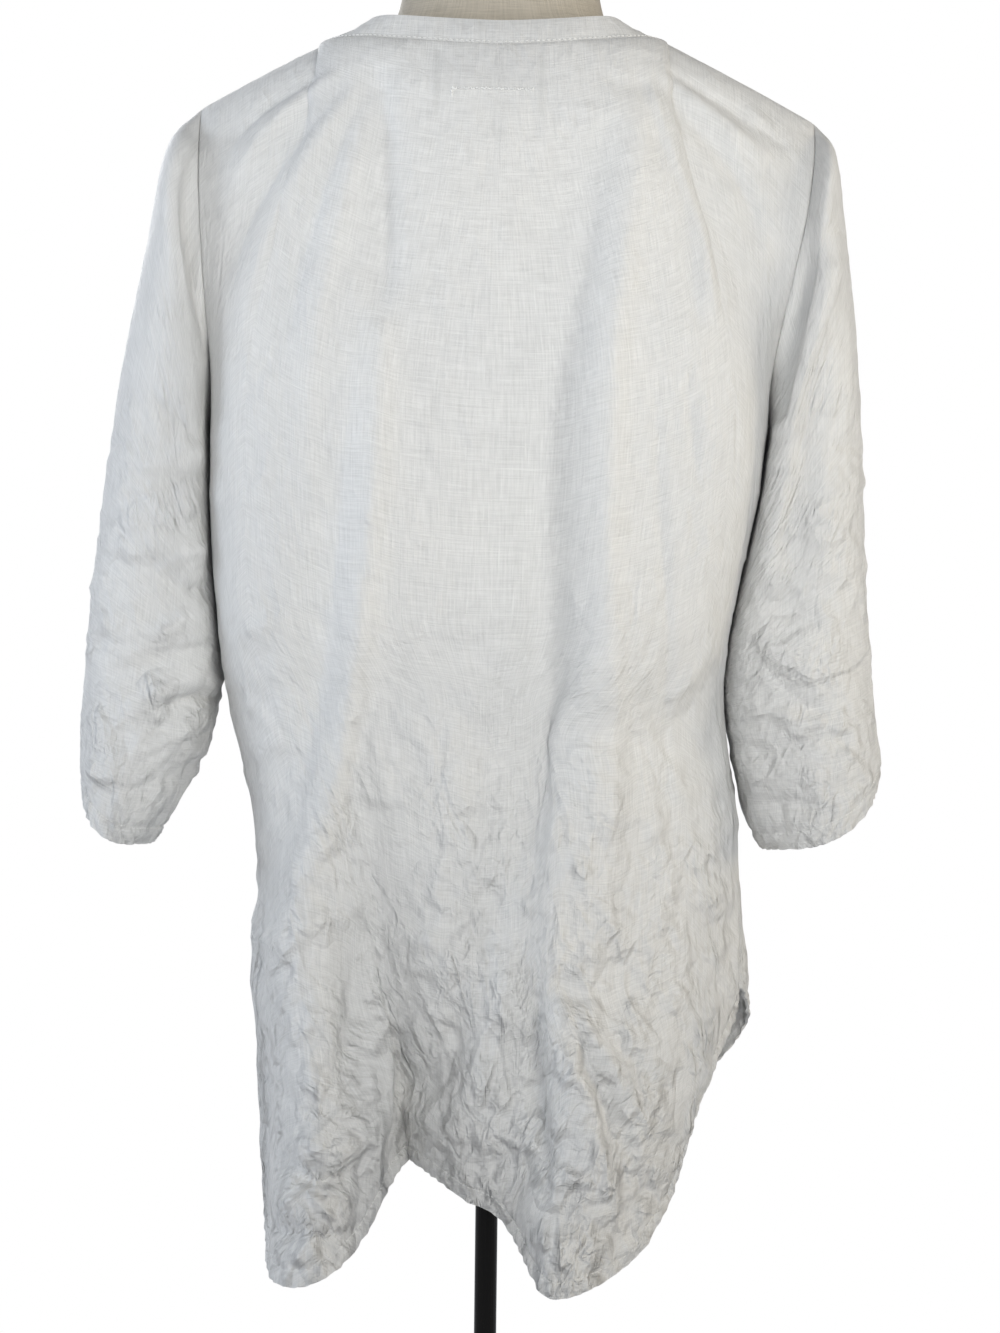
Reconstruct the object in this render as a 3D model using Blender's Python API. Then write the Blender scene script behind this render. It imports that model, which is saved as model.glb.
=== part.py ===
"""Tunic top hanging on a limbless dress form that stands by itself on a pole and a round base.

Metres, +Z up. The origin is the centre of the base's underside. The garment's front faces -Y, its
back +Y, and the wearer's left is +X. The tables give millimetres.
"""
import bpy
import numpy as np

MM = 0.001

# ---- driving dimensions, in millimetres ----
CLOTH = 1.2            # wall of a single layer of cloth
HEM_CLOTH = 2.2        # wall where a hem or a cuff is turned up
SEAM_GAP = 0.3         # clear space where two pieces meet
UNDERARM = 1110        # height of the underarm points
NECK_SHARE = 0.56      # part of a panel's half width that lies along the neckline
BAND_HEIGHT = 21       # neck band, from its seam to its top edge
POLE_RADIUS = 7.6
BASE_RADIUS = 165
BASE_THICKNESS = 10
FORM_FOOT = 770        # underside of the torso
LABEL_CLOTH = 1.0
LABEL = dict(left=41, right=-27, top=1354, bottom=1311)

# Shoulder and neck points on each side (+1 is the wearer's left).
SHOULDER_X = {1: 203, -1: -214}
SHOULDER_Z = {1: 1326, -1: 1321}
CORNER_X = {1: 122, -1: -112}
CORNER_Z = {1: 1368, -1: 1373}
NECK_BACK = dict(depth=70, height=1360, rise=6)
NECK_FRONT = dict(depth=100, height=1262, curve=1.15)

# The body of the tunic, all round: one row for each level below the underarm.
# height, left and right half width, depth of the back and of the front, squareness of the outline
BODY = [
    (520, 152, 140, 118, 132, 3.0),
    (620, 148, 146, 118, 132, 2.9),
    (700, 152, 164, 118, 132, 2.8),
    (740, 157, 168, 117, 132, 2.8),
    (810, 158, 168, 116, 132, 2.7),
    (860, 164, 165, 115, 132, 2.7),
    (900, 173, 159, 114, 132, 2.6),
    (950, 182, 155, 113, 132, 2.6),
    (985, 186, 160, 112, 131, 2.5),
    (1020, 189, 167, 112, 131, 2.5),
    (1065, 191, 176, 111, 130, 2.5),
    (1110, 191, 182, 110, 130, 2.5),
]

# The deep folds that fall from the shoulders and open towards the hem.
# place across at the top and at the hem (+1 left seam, -1 right seam), height where the fold starts,
# how far it stands out at the hem, how far it leans to the left, half width, how fast it opens
BACK_FOLDS = [
    (0.50, 0.58, 1000, 84, 2, 0.27, 1.5),
    (0.40, 0.40, 1000, 0, -30, 0.34, 1.4),
    (0.34, 0.21, 940, -60, -6, 0.30, 1.4),
    (-0.22, -0.28, 1060, 50, 30, 0.37, 1.4),
    (-0.66, -0.74, 900, 14, 9, 0.18, 1.2),
    (-0.06, -0.08, 1240, -9, 0, 0.16, 0.7),
    (0.86, 0.90, 960, 14, 3, 0.14, 1.2),
]
FRONT_FOLDS = [
    (0.56, 0.60, 1020, 44, 4, 0.24, 1.4),
    (0.28, 0.26, 1000, -30, 0, 0.22, 1.4),
    (-0.02, -0.04, 1060, 34, 0, 0.26, 1.4),
    (-0.36, -0.34, 960, -34, 0, 0.20, 1.4),
    (-0.62, -0.64, 1010, 40, -6, 0.22, 1.4),
    (-0.90, -0.91, 820, 14, -14, 0.14, 1.3),
]

# Height of the cut edge along each hem. place across, height
BACK_HEM = [
    (-1.0, 732), (-0.93, 721), (-0.86, 706), (-0.79, 686), (-0.71, 657), (-0.64, 628), (-0.57, 600),
    (-0.5, 578), (-0.43, 563), (-0.36, 555), (-0.29, 551), (-0.21, 552), (-0.14, 562), (-0.07, 581),
    (0.0, 600), (0.1, 616), (0.2, 621), (0.28, 620), (0.36, 607), (0.42, 587), (0.48, 570),
    (0.56, 559), (0.64, 556), (0.72, 560), (0.80, 576), (0.87, 616), (0.94, 683), (1.0, 733),
]
FRONT_HEM = [
    (-1.0, 732), (-0.93, 710), (-0.86, 686), (-0.78, 664), (-0.65, 642), (-0.4, 636), (-0.15, 628),
    (0.1, 632), (0.4, 624), (0.65, 638), (0.8, 664), (0.9, 698), (1.0, 733),
]

# The sleeves, one row for each section below the armhole: outermost point (x, z), innermost point (x, z),
# half depth, shift towards the back, and how far the front and back of the section sag below its ends.
# The last row is the cuff's edge.
LEFT_SLEEVE = [
    (216, 1312, 196, 1116, 64, 0, 0),
    (224, 1296, 200, 1108, 70, 0, 0),
    (231, 1262, 201, 1090, 72, -1, 0),
    (238, 1228, 201, 1066, 71, -2, 0),
    (246, 1190, 200, 1040, 69, -3, 0),
    (254, 1146, 199, 1014, 67, -4, 0),
    (261, 1098, 197, 988, 66, -5, 0),
    (268, 1042, 193, 962, 65, -6, 0),
    (273, 992, 189, 938, 64, -6, 2),
    (276, 950, 190, 915, 63, -6, 4),
    (278, 914, 197, 890, 63, -6, 8),
    (279, 888, 211, 862, 64, -6, 11),
    (277, 872, 226, 838, 65, -6, 13),
    (275, 864, 233, 828, 65, -6, 14),
]
RIGHT_SLEEVE = [
    (-224, 1308, -189, 1116, 64, 0, 0),
    (-229, 1292, -191, 1106, 70, 0, 0),
    (-233, 1262, -190, 1088, 72, -1, 0),
    (-237, 1228, -186, 1064, 71, -2, 0),
    (-242, 1186, -181, 1038, 69, -3, 0),
    (-246, 1136, -175, 1010, 67, -4, 0),
    (-249, 1084, -169, 984, 66, -5, 0),
    (-251, 1030, -164, 960, 65, -6, 0),
    (-254, 974, -161, 934, 64, -6, 2),
    (-258, 930, -162, 904, 63, -6, 5),
    (-262, 902, -167, 876, 62, -6, 9),
    (-263, 886, -173, 854, 61, -6, 13),
    (-261, 877, -181, 836, 60, -6, 15),
    (-260, 873, -186, 829, 60, -6, 16),
]
ARMHOLE_REACH = {"back": 52, "front": 50}
ARMHOLE_SPACING = 1.6

# The dress form, one row for each level: height, half width, depth to the front and to the back
FORM = [
    (770, 136, 86, 80), (774, 143, 93, 87), (786, 148, 98, 92), (820, 149, 100, 94),
    (870, 145, 98, 94), (930, 134, 90, 90), (985, 122, 84, 84), (1050, 130, 98, 86),
    (1120, 146, 112, 90), (1180, 158, 106, 92), (1235, 172, 90, 90), (1270, 184, 76, 80),
    (1292, 190, 66, 70), (1308, 191.5, 57, 61), (1320, 189.5, 50, 54), (1329, 184, 46, 50),
    (1337, 174, 40, 43), (1345, 161, 34, 36), (1353.2, 148, 26, 29), (1361.2, 132.5, 21, 25),
    (1365, 121, 20, 26), (1368, 110, 20, 29), (1371, 100, 21, 33), (1375.5, 89, 26, 38),
    (1382, 79.5, 35, 42), (1390, 72.5, 44, 44), (1400, 68, 51, 45), (1414, 65.5, 55, 46),
    (1440, 64, 57, 47), (1447, 62, 55, 45), (1450, 57, 50, 40),
]
FORM_SQUARENESS = 2.2

# (height, half width, front, back) of the neck's root, where it runs down into the shoulders
NECK = [
    (1292, 128, 66, 70), (1308, 116, 63, 62), (1329, 102, 60, 58), (1345, 92, 57, 55),
    (1361, 83, 55, 52), (1375, 77, 54, 49), (1382, 74, 53, 48), (1400, 68, 52, 46), (1414, 65.5, 55, 46),
]

# ---- resolution ----
ACROSS = 28            # steps across a panel
YOKE_STEPS = 11        # steps from shoulder to underarm
DROP_STEPS = 15        # steps from underarm to hem
SLEEVE_SIDES = 2 * YOKE_STEPS
BAND_STEPS = 24
FORM_SIDES = 40


def table(rows, column, at):
    """A smooth curve through one column of a table, read at the given places."""
    rows = sorted(rows)
    place = np.array([row[0] for row in rows], float)
    value = np.array([row[column] for row in rows], float)
    slope = np.gradient(value, place)
    at = np.clip(at, place[0], place[-1])
    i = np.clip(np.searchsorted(place, at) - 1, 0, len(place) - 2)
    step = place[i + 1] - place[i]
    t = (at - place[i]) / step
    rise = t * t * (3 - 2 * t)
    ease_in = t * (1 - t) ** 2 * step
    ease_out = t * t * (1 - t) * step
    return value[i] + (value[i + 1] - value[i]) * rise + slope[i] * ease_in - slope[i + 1] * ease_out


def smooth(t):
    t = np.clip(t, 0, 1)
    return t * t * (3 - 2 * t)


def power(value, exponent):
    return np.sign(value) * np.abs(value) ** exponent


def by_side(u, pair):
    return np.where(u >= 0, pair[1], pair[-1])


def top_edge(u, side):
    """The panel's top edge: both shoulder seams, with the neckline between them."""
    corner_x, corner_z = by_side(u, CORNER_X), by_side(u, CORNER_Z)
    reach = np.clip((np.abs(u) - NECK_SHARE) / (1 - NECK_SHARE), 0, 1)
    x = corner_x + (by_side(u, SHOULDER_X) - corner_x) * reach
    z = corner_z + (by_side(u, SHOULDER_Z) - corner_z) * reach
    y = np.zeros_like(x)
    around = np.clip(np.abs(u) / NECK_SHARE, 0, 1)
    inside = np.abs(u) < NECK_SHARE
    if side == "back":
        neck_x = corner_x * np.sin(around * np.pi / 2)
        neck_y = NECK_BACK["depth"] * np.cos(around * np.pi / 2)
        neck_z = NECK_BACK["height"] + (corner_z - NECK_BACK["height"]) * around ** 2
        neck_z = neck_z + NECK_BACK["rise"] * np.sin(np.pi * around ** 1.5)
    else:
        neck_x = corner_x * around
        neck_y = -NECK_FRONT["depth"] * (1 - around ** 2) ** 0.75
        neck_z = NECK_FRONT["height"] + (corner_z - NECK_FRONT["height"]) * around ** NECK_FRONT["curve"]
    return np.where(inside, neck_x, x), np.where(inside, neck_y, y), np.where(inside, neck_z, z)


def hanging(u, z, side):
    """Where the cloth hangs below the underarm, at a place across and a height."""
    angle = (1 - u) * np.pi / 2
    squareness = 2 / table(BODY, 5, z)
    half_width = np.where(u >= 0, table(BODY, 1, z), table(BODY, 2, z))
    depth = table(BODY, 3 if side == "back" else 4, z)
    x = half_width * power(np.cos(angle), squareness)
    y = depth * np.abs(np.sin(angle)) ** squareness
    hem = table(BACK_HEM if side == "back" else FRONT_HEM, 1, u)
    for top, bottom, start, out, lean, width, opening in BACK_FOLDS if side == "back" else FRONT_FOLDS:
        fall = np.clip((start - z) / (start - hem), 0, 1) ** opening
        middle = top + (bottom - top) * fall
        away = np.clip(np.abs(u - middle) / width, 0, 1)
        bump = 0.5 + 0.5 * np.cos(np.pi * away)
        y = y + out * fall * bump
        x = x + lean * fall * bump
    return x, (y if side == "back" else -y)


def panel_grid(side, across=ACROSS, yoke_steps=YOKE_STEPS, drop_steps=DROP_STEPS):
    """Mid surface of a body panel, as rows from the shoulders to the hem."""
    sign = 1 if side == "back" else -1
    u = np.linspace(1, -1, across + 1)
    top_x, top_y, top_z = top_edge(u, side)
    arm_x, arm_y = hanging(u, np.full_like(u, UNDERARM), side)
    rows = []
    for w in np.linspace(0, 1, yoke_steps + 1)[:-1] ** ARMHOLE_SPACING:
        near_neck = smooth(1 - np.abs(u) / 0.8)
        roundness = 2.9 - 1.2 * near_neck
        rise = (1 - (1 - w) ** roundness) ** (1 / roundness)
        y = top_y + (arm_y - top_y) * rise
        edge = smooth((np.abs(u) - 0.35) / 0.65) * ARMHOLE_REACH[side] * np.sin(np.pi * w) ** 0.8
        y = np.where(np.abs(u) > 0.35, sign * np.hypot(y, edge), y)
        x = top_x + (arm_x - top_x) * smooth(w)
        z = top_z + (UNDERARM - top_z) * w
        rows.append(np.stack([x, y, z], axis=1))
    hem = table(BACK_HEM if side == "back" else FRONT_HEM, 1, u)
    for q in np.linspace(0, 1, drop_steps + 1):
        z = UNDERARM + (hem - UNDERARM) * q
        x, y = hanging(u, z, side)
        rows.append(np.stack([x, y, z], axis=1))
    return np.array(rows)


def pull_back(grid, gap=SEAM_GAP / 2 + 0.06):
    """Draws all four edges of a grid back from its seams."""
    grid = grid.copy()
    for edge, inner in ((0, 1), (-1, -2)):
        for view in (grid, grid.transpose(1, 0, 2)):
            inward = view[inner] - view[edge]
            length = np.linalg.norm(inward, axis=1, keepdims=True)
            view[edge] = view[edge] + inward / length * gap
    return grid


def sleeve_grid(sections, hand, sides=SLEEVE_SIDES):
    """Mid surface of a sleeve: the armhole first, then one ring for each section."""
    half = sides // 2
    shape = np.linspace(0, 1, half + 1) ** ARMHOLE_SPACING
    loops = []
    for side in ("back", "front"):
        sign = 1 if side == "back" else -1
        underarm_x = hanging(np.array([float(hand)]), np.array([float(UNDERARM)]), side)[0]
        x = SHOULDER_X[hand] + (underarm_x - SHOULDER_X[hand]) * smooth(shape)
        y = sign * ARMHOLE_REACH[side] * np.sin(np.pi * shape) ** 0.8
        z = SHOULDER_Z[hand] + (UNDERARM - SHOULDER_Z[hand]) * shape
        loops.append(np.stack([x + hand * (CLOTH / 2 + SEAM_GAP + 0.2), y, z], axis=1))
    back, front = loops
    rings = [np.concatenate([back, front[-2:0:-1]])]
    angle = np.linspace(0, 2 * np.pi, sides, endpoint=False)
    for out_x, out_z, in_x, in_z, depth, shift, sag in sections:
        middle = np.array([(out_x + in_x) / 2, shift, (out_z + in_z) / 2])
        reach = np.array([(out_x - in_x) / 2, 0, (out_z - in_z) / 2])
        across = power(np.cos(angle), 0.9)[:, None] * reach
        deep = power(np.sin(angle), 0.9)[:, None] * np.array([0, depth, 0])
        deep[:, 2] -= sag * np.sin(angle) ** 2
        rings.append(middle + across + deep)
    return np.array(rings)


def band_grid(side, steps=BAND_STEPS):
    """Neck band: one row along the neckline seam, and rows up to its free edge."""
    t = np.linspace(1, -1, steps + 1)
    x, y, z = top_edge(t * NECK_SHARE * 0.9999, side)
    around = np.abs(t)
    if side == "back":
        flat = smooth((around - 0.4) / 0.6)
        inward = np.stack([-0.93 * np.sign(t) * flat, -0.52 + 0.32 * flat, 0.85 - 0.52 * flat], axis=1)
    else:
        steep = smooth((1 - around) / 0.5)
        sideways = -np.sign(t) * (0.93 - 0.93 * smooth((0.25 - around) / 0.25)) * (1 - 0.35 * steep)
        inward = np.stack([sideways, -0.2 + 0.5 * steep, 0.33 + 0.55 * steep], axis=1)
    inward = inward / np.linalg.norm(inward, axis=1, keepdims=True)
    seam = np.stack([x, y, z], axis=1)
    lift = CLOTH / 2 + SEAM_GAP
    return np.array([seam + inward * (lift + BAND_HEIGHT * step) for step in (0, 0.5, 1)])


def label_grid(steps=6):
    """The blank label: a rectangle of the back panel's own points, moved in."""
    panel = panel_grid("back", across=96, yoke_steps=60, drop_steps=2)
    across = np.linspace(LABEL["left"], LABEL["right"], steps + 1)
    heights = np.linspace(LABEL["top"], LABEL["bottom"], steps + 1)
    columns = []
    for x in across:
        found = np.array([[np.interp(-x, -row[:, 0], row[:, axis]) for axis in (1, 2)] for row in panel])
        y = np.interp(-heights, -found[:, 1], found[:, 0])
        columns.append(np.stack([np.full(steps + 1, x), y, heights], axis=1))
    inset = CLOTH / 2 + 3 * SEAM_GAP + LABEL_CLOTH / 2
    grid = np.array(columns).transpose(1, 0, 2)
    return grid + normals(grid, False) * inset


def normals(grid, closed):
    """Unit normals of a grid of points."""
    if closed:
        along = np.roll(grid, -1, axis=1) - np.roll(grid, 1, axis=1)
    else:
        along = np.gradient(grid, axis=1)
    down = np.gradient(grid, axis=0)
    normal = np.cross(along, down)
    return normal / np.linalg.norm(normal, axis=2, keepdims=True)


def seam_normals(grid, side):
    """Normals of a panel, turned at its seams so that its end faces lie along them."""
    normal = normals(grid, False)
    u = np.linspace(1, -1, grid.shape[1])
    normal[0, np.abs(u) > NECK_SHARE, 1] = 0
    height = grid[:, 0, 2]
    near_underarm = smooth((SHOULDER_Z[1] - height) / (SHOULDER_Z[1] - UNDERARM) * 2 - 1)
    for edge in (0, -1):
        normal[:, edge, 0] *= near_underarm
        normal[YOKE_STEPS:, edge, 1] = 0
    return normal / np.linalg.norm(normal, axis=2, keepdims=True)


def wall(name, grid, normal, thickness, material, closed=False):
    """A closed wall of cloth about a grid of points, open at its ends."""
    rows, columns = grid.shape[:2]
    half = normal * thickness[:, None, None] / 2
    points = np.concatenate([(grid + half).reshape(-1, 3), (grid - half).reshape(-1, 3)]) * MM
    inner = rows * columns

    def at(row, column, layer):
        return layer * inner + row * columns + column % columns

    faces = []
    last = columns if closed else columns - 1
    for row in range(rows - 1):
        for column in range(last):
            above = [at(row, column, 0), at(row, column + 1, 0)]
            below = [at(row + 1, column + 1, 0), at(row + 1, column, 0)]
            outer = above + below
            faces.append(outer)
            faces.append([corner + inner for corner in reversed(outer)])
    for column in range(last):
        faces.append([at(0, column + 1, 0), at(0, column, 0), at(0, column, 1), at(0, column + 1, 1)])
        end = rows - 1
        outer_edge = [at(end, column, 0), at(end, column + 1, 0)]
        faces.append(outer_edge + [at(end, column + 1, 1), at(end, column, 1)])
    if not closed:
        for row in range(rows - 1):
            faces.append([at(row, 0, 0), at(row + 1, 0, 0), at(row + 1, 0, 1), at(row, 0, 1)])
            end = columns - 1
            faces.append([at(row + 1, end, 0), at(row, end, 0), at(row, end, 1), at(row + 1, end, 1)])
    return add(name, points, faces, material)


def add(name, points, faces, material):
    mesh = bpy.data.meshes.new(name)
    mesh.from_pydata([tuple(point) for point in points], [], faces)
    mesh.materials.append(material)
    mesh.shade_smooth()
    mesh.set_sharp_from_angle(angle=np.radians(50))
    thing = bpy.data.objects.new(name, mesh)
    bpy.context.scene.collection.objects.link(thing)
    return thing


def turned(name, rings, material):
    """A solid through closed rings of points, with flat ends."""
    sides = len(rings[0])
    points = np.concatenate(rings) * MM
    faces = []
    for level in range(len(rings) - 1):
        for side in range(sides):
            low, high = level * sides, (level + 1) * sides
            after = (side + 1) % sides
            faces.append([low + side, low + after, high + after, high + side])
    faces.append(list(range(sides))[::-1])
    faces.append([(len(rings) - 1) * sides + side for side in range(sides)])
    return add(name, points, faces, material)


def circle(radius, height, sides):
    angle = np.linspace(0, 2 * np.pi, sides, endpoint=False)
    return np.stack([radius * np.cos(angle), radius * np.sin(angle), np.full(sides, float(height))], axis=1)


def form_ring(height, half_width, front, back):
    """One level of the torso: shoulders and, above them, the root of the neck."""
    angle = np.linspace(0, 2 * np.pi, FORM_SIDES, endpoint=False)
    x = half_width * power(np.cos(angle), 2 / FORM_SQUARENESS)
    behind = np.sin(angle) >= 0
    y = np.where(behind, back, front) * power(np.sin(angle), 2 / FORM_SQUARENESS)
    if NECK[0][0] <= height <= NECK[-1][0]:
        level = np.array([float(height)])
        wide, deep_front, deep_back = (table(NECK, column, level)[0] for column in (1, 2, 3))
        inside = np.clip(1 - (np.abs(x) / wide) ** FORM_SQUARENESS, 0, 1) ** (1 / FORM_SQUARENESS)
        root = np.where(behind, deep_back, -deep_front) * inside
        y = np.where(np.abs(root) > np.abs(y), root, y)
    return np.stack([x, y, np.full(FORM_SIDES, float(height))], axis=1)


def surface(name, colour, roughness, metallic=0.0):
    made = bpy.data.materials.new(name)
    made.use_nodes = True
    shader = made.node_tree.nodes["Principled BSDF"]
    shader.inputs["Base Color"].default_value = (*colour, 1)
    shader.inputs["Roughness"].default_value = roughness
    shader.inputs["Metallic"].default_value = metallic
    return made


def build_panel(side, linen):
    grid = pull_back(panel_grid(side))
    normal = seam_normals(grid, side)
    thickness = np.full(len(grid), CLOTH)
    thickness[-1] = HEM_CLOTH
    if side == "front":
        grid, normal = grid[:, ::-1], -normal[:, ::-1]
    wall(side + "_panel", grid, normal, thickness, linen)


def build_band(side, linen):
    grid = pull_back(band_grid(side))
    if side == "front":
        grid = grid[:, ::-1]
    wall("neck_band_" + side, grid, normals(grid, False), np.full(len(grid), CLOTH), linen)


def build_sleeve(name, sections, hand, linen):
    grid = sleeve_grid(sections, hand)
    if hand > 0:
        grid = grid[:, ::-1]
    normal = normals(grid, True)
    normal[0, :, 0] = 0
    normal[0] /= np.linalg.norm(normal[0], axis=1, keepdims=True)
    thickness = np.full(len(grid), CLOTH)
    thickness[-2:] = HEM_CLOTH
    wall(name, grid, normal, thickness, linen, closed=True)


def build_tunic():
    linen = surface("white_linen", (0.80, 0.80, 0.78), 0.85)
    tape = surface("label_tape", (0.74, 0.73, 0.70), 0.8)
    for side in ("back", "front"):
        build_panel(side, linen)
        build_band(side, linen)
    build_sleeve("sleeve_left", LEFT_SLEEVE, 1, linen)
    build_sleeve("sleeve_right", RIGHT_SLEEVE, -1, linen)
    label = label_grid()
    wall("neck_label", label, normals(label, False), np.full(len(label), LABEL_CLOTH), tape)


def build_form():
    cover = surface("form_linen", (0.60, 0.54, 0.46), 0.9)
    turned("form_torso", [form_ring(*row) for row in FORM], cover)


def build_stand():
    black = surface("black_gloss", (0.012, 0.012, 0.013), 0.25)
    top = FORM_FOOT - SEAM_GAP
    foot = BASE_THICKNESS + SEAM_GAP
    turned("pole", [circle(POLE_RADIUS, foot, 24), circle(POLE_RADIUS, top, 24)], black)
    edge = 2.0
    rings = [
        circle(BASE_RADIUS, 0, 64),
        circle(BASE_RADIUS, BASE_THICKNESS - edge, 64),
        circle(BASE_RADIUS - edge, BASE_THICKNESS, 64),
    ]
    turned("base", rings, black)


def main():
    for thing in list(bpy.data.objects):
        bpy.data.objects.remove(thing)
    build_tunic()
    build_form()
    build_stand()


main()
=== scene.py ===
"""Looks of the tunic top on its dress form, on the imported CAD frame."""
import math

import bpy
import numpy as np
from mathutils import Matrix, Vector


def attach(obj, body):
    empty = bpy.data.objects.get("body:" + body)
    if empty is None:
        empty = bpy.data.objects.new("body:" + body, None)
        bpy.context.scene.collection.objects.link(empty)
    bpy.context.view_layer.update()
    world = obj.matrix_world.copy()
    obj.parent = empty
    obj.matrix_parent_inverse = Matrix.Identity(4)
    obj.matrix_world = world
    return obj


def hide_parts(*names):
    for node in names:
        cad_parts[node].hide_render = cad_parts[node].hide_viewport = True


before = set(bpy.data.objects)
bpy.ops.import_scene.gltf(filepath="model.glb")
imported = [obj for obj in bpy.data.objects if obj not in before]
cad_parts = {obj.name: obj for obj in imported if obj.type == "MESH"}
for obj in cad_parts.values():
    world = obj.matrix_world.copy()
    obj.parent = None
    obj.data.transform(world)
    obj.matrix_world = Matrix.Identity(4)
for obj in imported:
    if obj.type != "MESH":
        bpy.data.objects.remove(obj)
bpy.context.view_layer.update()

MM = 0.001

# ---- camera, placed as the photographer stood: behind the form, level, at chest height ----
camera = bpy.data.cameras.new("camera")
camera.sensor_fit = "VERTICAL"
camera.sensor_height = 36
camera.lens = 87.25
camera.clip_end = 50
eye = bpy.data.objects.new("camera", camera)
bpy.context.scene.collection.objects.link(eye)
eye.matrix_world = (Matrix.Translation((-0.0047, 2.2, 0.9496)) @ Matrix.Rotation(math.pi, 4, "Z")
                    @ Matrix.Rotation(math.pi / 2, 4, "X") @ Matrix.Rotation(math.radians(0.693), 4, "Z"))
bpy.context.scene.camera = eye

# ---- driving dimensions, in millimetres ----
CLOTH = 1.2            # wall of a single layer of cloth
HEM_CLOTH = 2.2        # wall where a hem or a cuff is turned up
SEAM_GAP = 0.3         # clear space where two pieces meet
UNDERARM = 1110        # height of the underarm points
NECK_SHARE = 0.56      # part of a panel's half width that lies along the neckline
BAND_HEIGHT = 21       # neck band, from its seam to its top edge
FORM_FOOT = 770        # underside of the torso
LABEL_CLOTH = 1.0      # wall of the label
LABEL_STITCH = 1327.5  # height of the stitching through the label
LABEL = dict(left=41, right=-27, top=1354, bottom=1311)

# Shoulder and neck points on each side (+1 is the wearer's left).
SHOULDER_X = {1: 203, -1: -214}
SHOULDER_Z = {1: 1326, -1: 1321}
CORNER_X = {1: 122, -1: -112}
CORNER_Z = {1: 1368, -1: 1373}
NECK_BACK = dict(depth=70, height=1360, rise=6)
NECK_FRONT = dict(depth=100, height=1262, curve=1.15)

# The body of the tunic, all round: one row for each level below the underarm.
# height, left and right half width, depth of the back and of the front, squareness of the outline
BODY = [
    (520, 152, 140, 118, 132, 3.0),
    (620, 148, 146, 118, 132, 2.9),
    (700, 152, 164, 118, 132, 2.8),
    (740, 157, 168, 117, 132, 2.8),
    (810, 158, 168, 116, 132, 2.7),
    (860, 164, 165, 115, 132, 2.7),
    (900, 173, 159, 114, 132, 2.6),
    (950, 182, 155, 113, 132, 2.6),
    (985, 186, 160, 112, 131, 2.5),
    (1020, 189, 167, 112, 131, 2.5),
    (1065, 191, 176, 111, 130, 2.5),
    (1110, 191, 182, 110, 130, 2.5),
]

# The deep folds that fall from the shoulders and open towards the hem.
# place across at the top and at the hem (+1 left seam, -1 right seam), height where the fold starts,
# how far it stands out at the hem, how far it leans to the left, half width, how fast it opens
BACK_FOLDS = [
    (0.50, 0.58, 1000, 84, 2, 0.27, 1.5),
    (0.40, 0.40, 1000, 0, -30, 0.34, 1.4),
    (0.34, 0.21, 910, -62, -6, 0.30, 1.8),
    (-0.22, -0.28, 1060, 50, 30, 0.37, 1.4),
    (-0.66, -0.74, 900, 14, 9, 0.18, 1.2),
    (-0.06, -0.08, 1240, -9, 0, 0.16, 0.7),
    (0.86, 0.90, 960, 14, 3, 0.14, 1.2),
]
FRONT_FOLDS = [
    (0.56, 0.60, 1020, 44, 4, 0.24, 1.4),
    (0.28, 0.26, 1000, -30, 0, 0.22, 1.4),
    (-0.02, -0.04, 1060, 34, 0, 0.26, 1.4),
    (-0.36, -0.34, 960, -34, 0, 0.20, 1.4),
    (-0.62, -0.64, 1010, 40, -6, 0.22, 1.4),
    (-0.90, -0.91, 820, 14, -14, 0.14, 1.3),
]

# Height of the cut edge along each hem. place across, height
BACK_HEM = [
    (-1.0, 732), (-0.93, 721), (-0.86, 706), (-0.79, 686), (-0.71, 657), (-0.64, 628), (-0.57, 600),
    (-0.5, 578), (-0.43, 563), (-0.36, 555), (-0.29, 551), (-0.21, 552), (-0.14, 562), (-0.07, 581),
    (0.0, 600), (0.1, 616), (0.2, 621), (0.28, 620), (0.36, 607), (0.42, 587), (0.48, 570),
    (0.56, 559), (0.64, 556), (0.72, 560), (0.80, 576), (0.87, 616), (0.94, 683), (1.0, 733),
]
FRONT_HEM = [
    (-1.0, 732), (-0.93, 710), (-0.86, 686), (-0.78, 664), (-0.65, 642), (-0.4, 636), (-0.15, 628),
    (0.1, 632), (0.4, 624), (0.65, 638), (0.8, 664), (0.9, 698), (1.0, 733),
]

# The sleeves, one row for each section below the armhole: outermost point (x, z), innermost point (x, z),
# half depth, shift towards the back, and how far the front and back of the section sag below its ends.
# The last row is the cuff's edge.
LEFT_SLEEVE = [
    (216, 1312, 194.5, 1114, 64, 0, 0),
    (224, 1296, 194.5, 1106, 70, 0, 0),
    (231, 1262, 193.8, 1090, 72, -1, 0),
    (238, 1228, 193.2, 1066, 71, -2, 0),
    (246, 1190, 192.2, 1040, 69, -3, 0),
    (254, 1146, 190.6, 1014, 67, -4, 0),
    (261, 1098, 188.3, 988, 66, -5, 0),
    (268, 1042, 185.7, 962, 65, -6, 0),
    (273, 992, 187, 938, 64, -6, 2),
    (276, 950, 190, 915, 63, -6, 4),
    (278, 914, 197, 890, 63, -6, 8),
    (279, 888, 211, 862, 64, -6, 11),
    (277, 872, 226, 838, 65, -6, 13),
    (275, 864, 233, 828, 65, -6, 14),
]
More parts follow.
